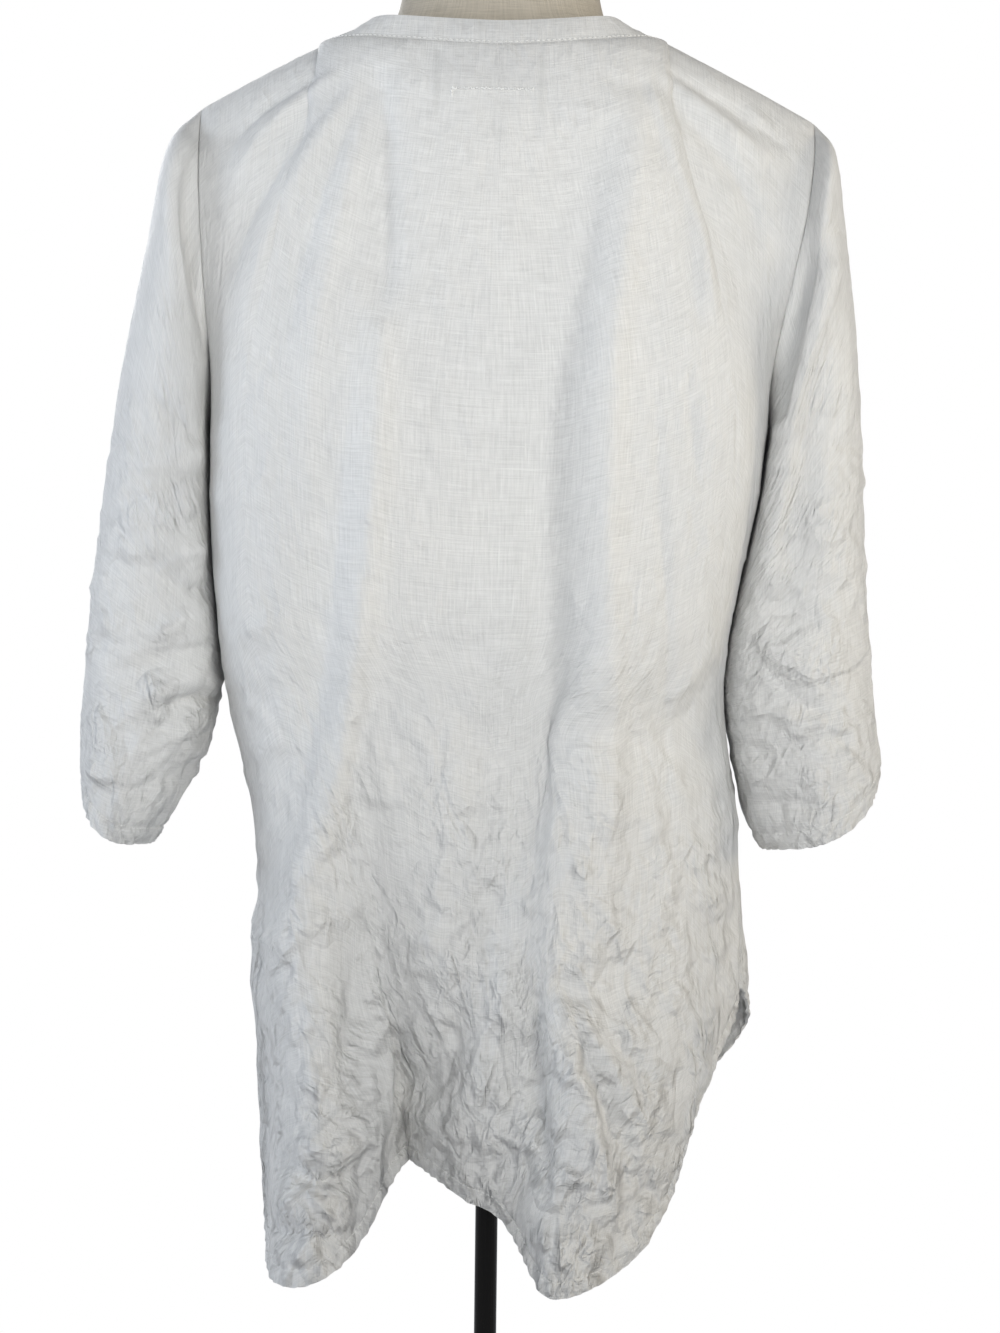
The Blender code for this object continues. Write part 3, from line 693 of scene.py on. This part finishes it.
def pushed(grid, outward, by):
    return grid + outward * by[..., None]


def hem_relief(edge_along, edge_away, width, pitch, seed):
    """Turned hem: thicker below its stitch line, roped by the stitching."""
    inside = smooth((width - edge_away) / 2.5)
    line = -0.9 * np.exp(-((edge_away - width + 0.8) / 1.8) ** 2)
    wander = noise(edge_along / 30, edge_away / 30, seed)
    rope = np.sin(2 * np.pi * (edge_along / pitch + 0.045 * edge_away + 0.8 * wander))
    above = np.exp(-((edge_away - width - 3) / 6.0) ** 2) * (edge_away > width)
    size = 0.65 + 0.5 * noise(edge_along / 45, edge_away * 0 + 3.3, seed + 5)
    return line + inside * (0.5 + 1.1 * rope * size) + above * 0.9 * rope * size


def stitches(name, path, normal, material, length=2.6, gap=1.0, radius=0.32):
    """A row of thread stitches lying along a path in mm."""
    path, normal = np.asarray(path), np.asarray(normal)
    run = np.concatenate([[0], np.cumsum(np.linalg.norm(np.diff(path, axis=0), axis=1))])
    starts = np.arange(0.8, run[-1] - length - 0.8, length + gap)
    points, faces = [], []

    def at(s):
        p = np.array([np.interp(s, run, path[:, i]) for i in range(3)])
        n = np.array([np.interp(s, run, normal[:, i]) for i in range(3)])
        return p, n / np.linalg.norm(n)

    for s in starts:
        (a, n), (b, _) = at(s), at(s + length)
        ahead = (b - a) / np.linalg.norm(b - a)
        side = np.cross(n, ahead)
        base = len(points)
        for place, size, lift in ((a, 0.35, -0.25), (a + ahead * length * 0.25, 1, 0.1),
                                  (a + ahead * length * 0.75, 1, 0.1), (b, 0.35, -0.25)):
            centre = place + n * radius * lift
            for k in range(6):
                turn = k * math.pi / 3
                points.append(centre + (side * math.cos(turn) + n * math.sin(turn)) * radius * size)
        for ring in range(3):
            for k in range(6):
                low = base + ring * 6
                faces.append([low + k, low + (k + 1) % 6, low + 6 + (k + 1) % 6, low + 6 + k])
        for low, order in ((base, 1), (base + 18, -1)):
            faces.append([low, low + 5, low + 4, low + 3][::order])
            faces.append([low, low + 3, low + 2, low + 1][::order])
    return mesh_of(name, np.array(points) * MM, np.array(faces), material)


# ---- materials ----
class Nodes:
    """Short hand for building one procedural material."""

    def __init__(self, name):
        self.material = bpy.data.materials.new(name)
        self.material.use_nodes = True
        self.tree = self.material.node_tree
        self.shader = self.tree.nodes["Principled BSDF"]

    def add(self, kind, settings=None, **inputs):
        node = self.tree.nodes.new("ShaderNode" + kind)
        for key, value in (settings or {}).items():
            setattr(node, key, value)
        for key, value in inputs.items():
            self.put(node, key.replace("_", " "), value)
        return node

    def put(self, node, key, value):
        socket = node.inputs[int(key)] if key.isdigit() else node.inputs[key]
        if isinstance(value, bpy.types.NodeSocket):
            self.tree.links.new(value, socket)
        else:
            socket.default_value = value

    def math(self, operation, *values, clamp=False):
        node = self.add("Math", {"operation": operation, "use_clamp": clamp})
        for i, value in enumerate(values):
            self.put(node, str(i), value)
        return node.outputs[0]

    def noise(self, vector, scale, stretch=(1, 1, 1), detail=2.0, roughness=0.5, kind="FBM", distortion=0.0):
        mapping = self.add("Mapping", Vector=vector, Scale=tuple(scale * s for s in stretch))
        node = self.add("TexNoise", {"noise_type": kind}, Vector=mapping.outputs[0], Scale=1.0,
                        Detail=detail, Roughness=roughness, Distortion=distortion)
        return node.outputs["Fac"]

    def ramp(self, value, *stops):
        node = self.add("ValToRGB", Fac=value)
        band = node.color_ramp
        while len(band.elements) < len(stops):
            band.elements.new(0.5)
        for element, (place, colour) in zip(band.elements, stops):
            element.position = place
            element.color = (*colour, 1) if len(colour) == 3 else colour
        return node.outputs["Color"]

    def grey(self, value, *stops):
        return self.ramp(value, *[(place, (level,) * 3) for place, level in stops])

    def mix(self, amount, first, second, blend="MIX"):
        node = self.add("Mix", {"data_type": "RGBA", "blend_type": blend})
        self.put(node, "0", amount)
        self.put(node, "6", first)
        self.put(node, "7", second)
        return node.outputs[2]

    def bump(self, height, distance, strength, before=None):
        node = self.add("Bump", Height=height, Distance=distance, Strength=strength)
        if before is not None:
            self.put(node, "Normal", before)
        return node.outputs["Normal"]


def cloth_material(name, base, thread, slub, crumpling, label_shadow=False, scale=1.0,
                   fall=(1.12, 0.60, 2.0), turn=0.0):
    """Plain-weave linen: threads both ways, uneven slubs, fine rumpling, and where asked a painted shadow of
    the label sewn inside.
    """
    made = Nodes(name)
    uv = made.add("UVMap", {"uv_map": "cloth"}).outputs[0]
    place = made.add("TexCoord").outputs["Object"]
    warp = made.noise(uv, scale, (1050, 42, 1), 3.0, 0.6)
    weft = made.noise(uv, scale, (46, 1100, 1), 3.0, 0.6)
    threads = made.math("ADD", made.math("MULTIPLY", warp, 0.5), made.math("MULTIPLY", weft, 0.5))
    thick_warp = made.grey(made.noise(uv, scale, (860, 30, 1), 1.0), (0.0, 0.0), (0.68, 0.0), (0.75, 1.0))
    thick_weft = made.grey(made.noise(uv, scale, (27, 900, 1), 1.0), (0.0, 0.0), (0.67, 0.0), (0.75, 1.0))
    slubs = made.math("MAXIMUM", thick_warp, thick_weft)
    weave_u = made.add("TexWave", {"bands_direction": "X"}, Vector=uv, Scale=370.0 * scale, Distortion=0.6)
    weave_v = made.add("TexWave", {"bands_direction": "Y"}, Vector=uv, Scale=370.0 * scale, Distortion=0.6)
    weave = made.math("MULTIPLY", weave_u.outputs["Fac"], weave_v.outputs["Fac"])
    colour = made.ramp(threads, (0.32, thread), (0.62, base))
    colour = made.mix(made.math("MULTIPLY", slubs, 0.6), colour, (*slub, 1))
    patch = made.noise(place, 9.0, detail=3.0)
    tint = made.ramp(patch, (0.35, (0.86, 0.87, 0.88)), (0.65, (1.0, 1.0, 0.985)))
    colour = made.mix(0.22, colour, tint, "MULTIPLY")
    # painted shade: the shadow of the label inside darkens the back panel's colour
    if label_shadow:
        colour = ghosted(made, place, colour)
    made.put(made.shader, "Base Color", colour)
    made.put(made.shader, "Roughness", made.math("ADD", made.math("MULTIPLY", threads, 0.16), 0.48))
    made.put(made.shader, "Sheen Weight", 0.10)
    made.put(made.shader, "Sheen Roughness", 0.45)
    made.put(made.shader, "Specular IOR Level", 0.5)
    folds = fine_rumpling(made, uv, place, scale, fall, turn)
    normal = made.bump(folds, 0.0015 * crumpling, 1.0)
    normal = made.bump(threads, 0.0009, 0.9, normal)
    normal = made.bump(weave, 0.00025, 0.35, normal)
    made.put(made.shader, "Normal", normal)
    return made.material


def fine_rumpling(made, uv, place, scale, fall, turn):
    """Ridges of four sizes, stronger further down and in patches."""
    parts = made.add("SeparateXYZ", Vector=place)
    fallen = made.add("MapRange", Value=parts.outputs["Z"], From_Min=fall[0], From_Max=fall[1],
                      To_Min=0.0, To_Max=1.0)
    growth = made.math("POWER", fallen.outputs[0], fall[2])
    lower_part = made.math("ADD", made.math("MULTIPLY", growth, 2.0), 0.3)
    patches = made.add("MapRange", Value=made.noise(place, 26.0, detail=2.0), From_Min=0.38, From_Max=0.62,
                       To_Min=0.35, To_Max=1.15)
    amount = made.math("MULTIPLY", lower_part, patches.outputs[0])
    folds = None
    for size, height, stretch, lean in ((50, 1.0, (1, 0.36, 1), 0.30), (74, 0.62, (1, 0.42, 1), -0.45),
                                        (120, 0.34, (1, 0.55, 1), 0.9), (200, 0.18, (1, 0.7, 1), -0.2)):
        turned = made.add("VectorRotate", {"rotation_type": "Z_AXIS"}, Vector=uv, Angle=lean + turn)
        field = made.noise(turned.outputs[0], size * scale, stretch, 1.0, 0.5, distortion=0.45)
        away = made.math("ABSOLUTE", made.math("SUBTRACT", field, 0.5))
        ridge = made.math("SUBTRACT", 1.0, made.math("MULTIPLY", away, 4.5), clamp=True)
        level = made.math("MULTIPLY", made.math("ADD", ridge, made.math("MULTIPLY", field, 2.2)), height)
        folds = level if folds is None else made.math("ADD", folds, level)
    return made.math("MULTIPLY", folds, amount)


def soft_box(made, place, low, high, edge):
    """1 inside an upright rectangle of x and z in metres, fading over its edge."""
    parts = made.add("SeparateXYZ", Vector=place)
    inside = None
    for axis, start, end in (("X", low[0], high[0]), ("Z", low[1], high[1])):
        for limit, sign in ((start, 1), (end, -1)):
            reach = made.math("MULTIPLY", made.math("SUBTRACT", parts.outputs[axis], limit), sign / edge)
            step = made.math("ADD", reach, 0.5, clamp=True)
            inside = step if inside is None else made.math("MULTIPLY", inside, step)
    return inside


def ghosted(made, place, colour):
    """Painted shadow of the label sewn inside: darker above its stitching, with faint darker sides."""
    left, right = LABEL["left"] * MM, LABEL["right"] * MM
    top, bottom = LABEL["top"] * MM, LABEL["bottom"] * MM
    stitched = LABEL_STITCH * MM
    outer = soft_box(made, place, (right - 0.002, bottom - 0.001), (left + 0.002, top + 0.001), 0.004)
    inner = soft_box(made, place, (right + 0.001, bottom - 0.02), (left - 0.001, top + 0.02), 0.004)
    edge = made.math("SUBTRACT", outer, inner, clamp=True)
    upper = soft_box(made, place, (right - 0.001, stitched + 0.001), (left + 0.004, top - 0.002), 0.012)
    cloud = made.noise(place, 60.0, (1, 1, 2.2), 3.0)
    shade = made.math("MULTIPLY", upper, made.grey(cloud, (0.25, 0.35), (0.7, 1.0)))
    # painted shadow: the label's faint darker sides, then a darker patch above its stitching
    colour = made.mix(made.math("MULTIPLY", edge, 0.5), colour, (0.62, 0.62, 0.60, 1))
    return made.mix(made.math("MULTIPLY", shade, 0.42), colour, (0.60, 0.60, 0.60, 1))


def gloss_black(name):
    made = Nodes(name)
    place = made.add("TexCoord").outputs["Object"]
    smear = made.noise(place, 30.0, (1, 1, 0.15), 3.0)
    black = made.ramp(smear, (0.3, (0.005, 0.0045, 0.004)), (0.7, (0.009, 0.008, 0.007)))
    made.put(made.shader, "Base Color", black)
    made.put(made.shader, "Roughness", made.math("ADD", made.math("MULTIPLY", smear, 0.14), 0.13))
    made.put(made.shader, "Specular IOR Level", 0.14)
    made.put(made.shader, "Coat Weight", 0.04)
    made.put(made.shader, "Coat Roughness", 0.08)
    made.put(made.shader, "Normal", made.bump(made.noise(place, 900.0, detail=2.0), 0.0001, 0.15))
    return made.material


def thread_material(name, colour):
    made = Nodes(name)
    place = made.add("TexCoord").outputs["Object"]
    ply = made.noise(place, 1800.0, detail=1.0)
    made.put(made.shader, "Base Color", made.ramp(ply, (0.3, tuple(c * 0.9 for c in colour)), (0.7, colour)))
    made.put(made.shader, "Roughness", 0.55)
    made.put(made.shader, "Sheen Weight", 0.15)
    made.put(made.shader, "Normal", made.bump(ply, 0.0002, 0.5))
    return made.material


def floor_material():
    made = Nodes("pale_floor")
    place = made.add("TexCoord").outputs["Object"]
    cloud = made.noise(place, 2.0, detail=4.0)
    made.put(made.shader, "Base Color", made.grey(cloud, (0.3, 0.74), (0.7, 0.78)))
    made.put(made.shader, "Roughness", 0.7)
    return made.material


WHITE = dict(base=(0.876, 0.872, 0.857), thread=(0.684, 0.682, 0.669), slub=(0.93, 0.93, 0.91))
LINEN = cloth_material("white_linen", **WHITE, crumpling=1.0)
# the back panel's linen carries a painted shadow of the label sewn inside
LINEN_BACK = cloth_material("white_linen_back", **WHITE, crumpling=1.0, label_shadow=True)
LINEN_SLEEVE = cloth_material("white_linen_sleeve", **WHITE, crumpling=0.5, fall=(1.34, 0.92, 1.2), turn=1.15)
THREAD = thread_material("white_thread", (0.93, 0.93, 0.91))
TAPE = cloth_material("label_tape", (0.84, 0.83, 0.80), (0.76, 0.75, 0.72), (0.86, 0.85, 0.82),
                      crumpling=0.15, scale=1.6)
COVER = cloth_material("form_linen", (0.56, 0.50, 0.41), (0.40, 0.36, 0.29), (0.66, 0.60, 0.50),
                       crumpling=0.2, scale=0.8)
BLACK = gloss_black("gloss_black")


# ---- the pieces ----
def declare(piece, slot, *nodes):
    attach(piece, "root")
    if nodes:
        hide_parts(*nodes)
    return piece


def panel(side):
    """A body panel: the CAD's form, then creases, rumpling, hem and seams."""
    grid = panel_grid(side, PANEL_ACROSS, PANEL_YOKE, PANEL_DROP)
    outward = normals(grid, False) * (-1 if side == "back" else 1)
    x, z = grid[..., 0], grid[..., 2]
    relief = panel_relief(x, z, side)
    down = lengths(grid, 0)
    from_top, from_hem = down, down[-1] - down
    across = lengths(grid, 1)
    from_side = np.minimum(across, across[:, -1:] - across)
    hem_along = across[-1][None] + 0 * x
    near = smooth(from_side / 26) * smooth((from_top + 1) / 30)
    relief = relief * (0.05 + 0.95 * near) * (0.35 + 0.65 * smooth(from_hem / 26))
    if side == "back":
        relief *= 1 - 0.75 * smooth((z - 1290) / 25) * smooth((46 - np.abs(x - 7)) / 12)
    seam = np.exp(-(from_side / 1.6) ** 2) + np.exp(-(from_top / 1.6) ** 2)
    relief = relief - 0.25 * seam
    relief = relief + hem_relief(hem_along, from_hem, HEM_BAND, HEM_PITCH, 7 if side == "back" else 8)
    grid = pushed(grid, outward, relief)
    grid = pull_back(grid)
    outward = normals(grid, False) * (-1 if side == "back" else 1)
    flatten_seams(outward)
    thickness = CLOTH + (HEM_CLOTH - CLOTH) * smooth((HEM_BAND - from_hem) / 2.0)
    material = LINEN_BACK if side == "back" else LINEN
    piece = shell("linen_" + side + "_panel", grid, outward, thickness, material)
    return declare(piece, "linen", side + "_panel"), grid, outward


def flatten_seams(outward):
    """Turns the normals at the seams so that the walls' ends lie along them."""
    u = np.linspace(1, -1, outward.shape[1])
    outward[0, np.abs(u) > NECK_SHARE, 1] = 0
    fade = np.linspace(0, 1, PANEL_YOKE)
    for edge in (0, -1):
        outward[:PANEL_YOKE, edge, 0] *= smooth(fade * 2 - 1)
        outward[PANEL_YOKE:, edge, 1] = 0
    length = np.linalg.norm(outward, axis=2, keepdims=True)
    outward /= np.maximum(length, 1e-6)


def band(side):
    """A neck band, a little rippled, swelling towards its middle."""
    grid = pull_back(band_grid(side, BAND_STEPS, BAND_ROWS))
    outward = normals(grid, False)
    middle = outward[0, BAND_STEPS // 2]
    if (middle[1] if side == "back" else -middle[1]) + 0.3 * middle[2] < 0:
        outward = -outward
    along = lengths(grid, 1)
    up = lengths(grid, 0)
    wrinkle = np.sin(2 * np.pi * (along / 15 + up / 17 + 0.7 * noise(along / 34, up / 30, 91)))
    size = 0.5 + 0.6 * noise(along / 40, up / 60 + 4.2, 92)
    body = np.sin(np.pi * np.clip(up / up[-1:], 0, 1))
    relief = 0.45 * wrinkle * size * body + 0.35 * crumple(along, up, 14, 93) * body
    relief = relief - 0.45 * np.exp(-((up - 2.2) / 1.1) ** 2)
    grid = pushed(grid, outward, relief)
    thickness = CLOTH + 0.7 * np.sin(np.pi * np.clip(up / up[-1:], 0, 1)) ** 0.5
    piece = shell("linen_neck_band_" + side, grid, outward, thickness, LINEN)
    return declare(piece, "linen", "neck_band_" + side), grid, outward


def sleeve(name, sections, hand):
    """A sleeve: a smooth surface through its rings, then creases, rumpling and its turned cuff."""
    rings = sleeve_grid(sections, hand, SLEEVE_ROUND)
    rings[0][:, 0] -= hand * 1.25
    place = np.arange(len(rings), dtype=float)
    run = np.concatenate([[0], np.cumsum(np.linalg.norm(np.diff(rings, axis=0), axis=2).mean(1))])
    above = run[-1] - 20
    wanted = np.concatenate([np.linspace(0, above, SLEEVE_DOWN - 11)[:-1],
                             np.linspace(above, run[-1], 12)])
    at = np.interp(wanted, run, place)
    slope = np.gradient(rings, axis=0)
    i = np.clip(np.floor(at).astype(int), 0, len(rings) - 2)
    t = (at - i)[:, None, None]
    grid = (rings[i] + (rings[i + 1] - rings[i]) * t * t * (3 - 2 * t)
            + slope[i] * t * (1 - t) ** 2 - slope[i + 1] * t * t * (1 - t))
    outward = normals(grid, True) * -hand
    x, y, z = grid[..., 0], grid[..., 1], grid[..., 2]
    down = lengths(grid, 0)
    from_hem = down[-1] - down
    around = lengths(grid, 1)
    relief = sleeve_relief(x, y, z, hand)
    relief = relief * smooth((down + 1) / 26) * (0.4 + 0.6 * smooth(from_hem / 26))
    body_edge = table(BODY, 1 if hand > 0 else 2, z)
    beside = smooth((14 - (hand * x - body_edge)) / 12)
    beside = beside * smooth((z - 925) / 40) * smooth((60 - np.abs(y)) / 30)
    relief = relief * (1 - 0.92 * beside)
    relief = relief - 0.2 * np.exp(-(down / 1.6) ** 2)
    relief = relief + hem_relief(around, from_hem, CUFF_BAND, CUFF_PITCH, 17 + hand)
    grid = pushed(grid, outward, relief)
    outward = normals(grid, True) * -hand
    outward[0, :, 0] = 0
    outward[0] /= np.linalg.norm(outward[0], axis=1, keepdims=True)
    thickness = CLOTH + (HEM_CLOTH - CLOTH) * smooth((CUFF_BAND - from_hem) / 2.0)
    piece = shell("linen_" + name, grid, outward, thickness, LINEN_SLEEVE, closed=True)
    return declare(piece, "linen", name), grid, outward


def row_of_stitches(name, grid, outward, away, closed=False, lift=0.75, radius=0.34):
    """Stitches along a grid at a distance in from its last row, on the outer face."""
    run = lengths(grid, 0)
    run = run[-1:] - run
    path, normal = [], []
    for c in range(grid.shape[1]):
        s = run[::-1, c]
        path.append([np.interp(away, s, grid[::-1, c, i]) for i in range(3)])
        normal.append([np.interp(away, s, outward[::-1, c, i]) for i in range(3)])
    path, normal = np.array(path), np.array(normal)
    if closed:
        path, normal = np.vstack([path, path[:1]]), np.vstack([normal, normal[:1]])
    return declare(stitches(name, path + normal * lift, normal, THREAD, radius=radius), "linen")


def label_piece():
    """The blank label, inside the back panel."""
    grid = label_grid(14)
    outward = -normals(grid, False)
    piece = shell("woven_label", grid, outward, np.full(grid.shape[:2], LABEL_CLOTH), TAPE)
    return declare(piece, "label", "neck_label")


def zigzag(back_grid, back_out):
    """The stitching that holds the label's lower fold, seen on the outside."""
    left, right, height = 31, -26, LABEL_STITCH
    xs = np.arange(left, right, -1.9)
    zs = height + 1.0 * np.where(np.arange(len(xs)) % 2 == 0, 1, -1)
    xs = np.concatenate([[left, left + 0.6], xs])
    zs = np.concatenate([[height - 6, height - 3], zs])
    path, normal = [], []
    flat_x, flat_z = back_grid[:PANEL_YOKE, :, 0], back_grid[:PANEL_YOKE, :, 2]
    for x, z in zip(xs, zs):
        gap = (flat_x - x) ** 2 + (flat_z - z) ** 2
        near = np.argsort(gap.ravel())[:4]
        share = 1 / (gap.ravel()[near] + 0.05)
        share /= share.sum()
        point = (back_grid[:PANEL_YOKE].reshape(-1, 3)[near] * share[:, None]).sum(0)
        out = (back_out[:PANEL_YOKE].reshape(-1, 3)[near] * share[:, None]).sum(0)
        path.append(np.array([x, point[1], z]) + out * 1.2)
        normal.append(out)
    return declare(stitches("label_stitches", path, normal, THREAD, 2.2, 0.2, 0.7), "linen")


def form_piece():
    """The torso cover, finer than the CAD, drawn in a little under the cloth."""
    heights = np.concatenate([np.linspace(FORM_FOOT, 1330, 120), np.linspace(1333, 1450, 60)])
    sides = 128
    angle = np.linspace(0, 2 * np.pi, sides, endpoint=False)
    rings = []
    for height in heights:
        half_width, front, back = (float(table(FORM, c, np.array([height]))[0]) for c in (1, 2, 3))
        draw = 2.6 * float(lower(np.array(height), 1402, 1380)) * float(smooth(np.array((height - 772) / 30)))
        half_width, front, back = half_width - draw, front - draw, back - draw
        cx, sy = np.cos(angle), np.sin(angle)
        x = half_width * power(cx, 2 / FORM_SQUARENESS)
        y = np.where(sy >= 0, back, front) * power(sy, 2 / FORM_SQUARENESS)
        if NECK[0][0] <= height <= NECK[-1][0]:
            root_sizes = [float(table(NECK, c, np.array([height]))[0]) - draw for c in (1, 2, 3)]
            wide, deep_front, deep_back = root_sizes
            inside = np.clip(1 - (np.abs(x) / wide) ** FORM_SQUARENESS, 0, 1) ** (1 / FORM_SQUARENESS)
            root = np.where(sy >= 0, deep_back, deep_front) * inside
            y = np.where(sy >= 0, 1, -1) * (root ** 8 + np.abs(y) ** 8) ** 0.125
        for seam_x, sign in ((-1.5, 1), (0.0, -1)):
            away = np.abs(x - seam_x)
            ridge = 0.9 * np.exp(-(away / 1.7) ** 2) - 0.5 * np.exp(-((away - 4) / 1.4) ** 2)
            y = y + sign * ridge * (sy * sign > 0.3)
        rings.append(np.stack([x, y, np.full(sides, height)], axis=1))
    grid = np.array(rings)[::-1]
    top = [grid[0] * [s, s, 1] + [0, 0, lift] for s, lift in ((0.02, 0.0), (0.5, 0.0), (0.93, 0.0))]
    foot = [grid[-1] * [s, s, 1] for s in (0.97, 0.5, 0.06)]
    grid = np.concatenate([top, grid, foot])
    rows, columns = grid.shape[:2]
    r, c = np.meshgrid(np.arange(rows - 1), np.arange(columns), indexing="ij")
    r, c = r.ravel(), c.ravel()
    after = (c + 1) % columns
    here, below = r * columns, (r + 1) * columns
    quads = np.stack([here + c, below + c, below + after, here + after], axis=1)
    caps = []
    for base, way in ((0, 1), ((rows - 1) * columns, -1)):
        for k in range(1, columns - 2, 2):
            caps.append([base, base + k, base + k + 1, base + k + 2][::way])
    around = angle * 95 * MM
    uv = np.stack([np.stack([around[c], grid[r, c, 2] * MM], 1),
                   np.stack([around[c], grid[r + 1, c, 2] * MM], 1),
                   np.stack([around[c] + 0.0047, grid[r + 1, after, 2] * MM], 1),
                   np.stack([around[c] + 0.0047, grid[r, after, 2] * MM], 1)], axis=1)
    cap_uv = np.zeros((len(caps), 4, 2))
    quads = np.concatenate([quads, np.array(caps)])
    uv = np.concatenate([uv, cap_uv])
    piece = mesh_of("covered_form", grid.reshape(-1, 3) * MM, quads, COVER, uv)
    return declare(piece, "form_cover", "form_torso")


back, back_grid, back_out = panel("back")
front, front_grid, front_out = panel("front")
band_back, bb_grid, bb_out = band("back")
band_front, bf_grid, bf_out = band("front")
sleeve_left, sl_grid, sl_out = sleeve("sleeve_left", LEFT_SLEEVE, 1)
sleeve_right, sr_grid, sr_out = sleeve("sleeve_right", RIGHT_SLEEVE, -1)
label = label_piece()
form_piece()
for node in ("pole", "base"):
    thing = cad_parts[node]
    thing.data.materials.clear()
    thing.data.materials.append(BLACK)

hem_back = row_of_stitches("hem_stitches_back", back_grid, back_out, HEM_BAND - STITCH_FROM_FOLD)
hem_front = row_of_stitches("hem_stitches_front", front_grid, front_out, HEM_BAND - STITCH_FROM_FOLD)
cuff_left = row_of_stitches("cuff_stitches_left", sl_grid, sl_out, CUFF_BAND - STITCH_FROM_FOLD, True)
cuff_right = row_of_stitches("cuff_stitches_right", sr_grid, sr_out, CUFF_BAND - STITCH_FROM_FOLD, True)
neck_back = row_of_stitches("neck_stitches_back", bb_grid[::-1], bb_out[::-1], 1.4, lift=1.3, radius=0.45)
neck_front = row_of_stitches("neck_stitches_front", bf_grid[::-1], bf_out[::-1], 1.4, lift=1.3, radius=0.45)
label_hold = zigzag(back_grid, back_out)

# ---- floor and light ----
bpy.ops.mesh.primitive_circle_add(vertices=96, radius=1.7, fill_type="NGON", location=(0, 0, -0.0005))
floor = bpy.context.object
floor.name = "floor"
floor.data.materials.append(floor_material())


def lamp(name, place, aim, size, power_w, colour, spread):
    data = bpy.data.lights.new(name, "AREA")
    data.shape = "DISK"
    data.size = size
    data.energy = power_w
    data.color = colour
    data.spread = math.radians(spread)
    thing = bpy.data.objects.new(name, data)
    bpy.context.scene.collection.objects.link(thing)
    thing.location = place
    thing.rotation_euler = (Vector(aim) - Vector(place)).to_track_quat("-Z", "Y").to_euler()


lamp("key", (-0.8, 1.9, 1.4), (0, 0, 1.2), 0.9, 3.55, (1.0, 0.985, 0.93), 80)
lamp("fill", (0.8, 1.9, 1.4), (0, 0, 1.2), 0.9, 1.35, (0.93, 0.97, 1.0), 80)
lamp("side_left", (2.0, 0.2, 1.4), (0, 0, 1.2), 0.9, 7.4, (0.82, 0.90, 1.0), 140)
lamp("side_right", (-2.0, 0.2, 1.4), (0, 0, 1.2), 0.9, 4.6, (1.0, 0.85, 0.58), 140)
lamp("front", (0.9, -2.0, 2.0), (0, 0, 1.1), 1.2, 12, (1.0, 0.99, 0.97), 160)

world = bpy.data.worlds.new("studio")
bpy.context.scene.world = world
world.use_nodes = True
tree = world.node_tree
shade = tree.nodes["Background"]
coord = tree.nodes.new("ShaderNodeTexCoord")
split = tree.nodes.new("ShaderNodeSeparateXYZ")
ramp = tree.nodes.new("ShaderNodeValToRGB")
scale = tree.nodes.new("ShaderNodeMath")
scale.operation = "MULTIPLY_ADD"
scale.inputs[1].default_value = 0.5
scale.inputs[2].default_value = 0.5
tree.links.new(coord.outputs["Generated"], split.inputs[0])
tree.links.new(split.outputs["Z"], scale.inputs[0])
tree.links.new(scale.outputs[0], ramp.inputs[0])
ramp.color_ramp.elements[0].position = 0.25
ramp.color_ramp.elements[0].color = (0.79, 0.81, 0.86, 1)
ramp.color_ramp.elements[1].position = 0.85
ramp.color_ramp.elements[1].color = (0.21, 0.215, 0.23, 1)
horizon = ramp.color_ramp.elements.new(0.52)
horizon.color = (0.33, 0.34, 0.36, 1)
white = tree.nodes.new("ShaderNodeBackground")
white.inputs[0].default_value = (1, 1, 1, 1)
rays = tree.nodes.new("ShaderNodeLightPath")
choose = tree.nodes.new("ShaderNodeMixShader")
tree.links.new(ramp.outputs[0], shade.inputs[0])
tree.links.new(rays.outputs["Is Camera Ray"], choose.inputs[0])
tree.links.new(shade.outputs[0], choose.inputs[1])
tree.links.new(white.outputs[0], choose.inputs[2])
tree.links.new(choose.outputs[0], tree.nodes["World Output"].inputs[0])
bpy.context.scene.view_settings.view_transform = "Standard"
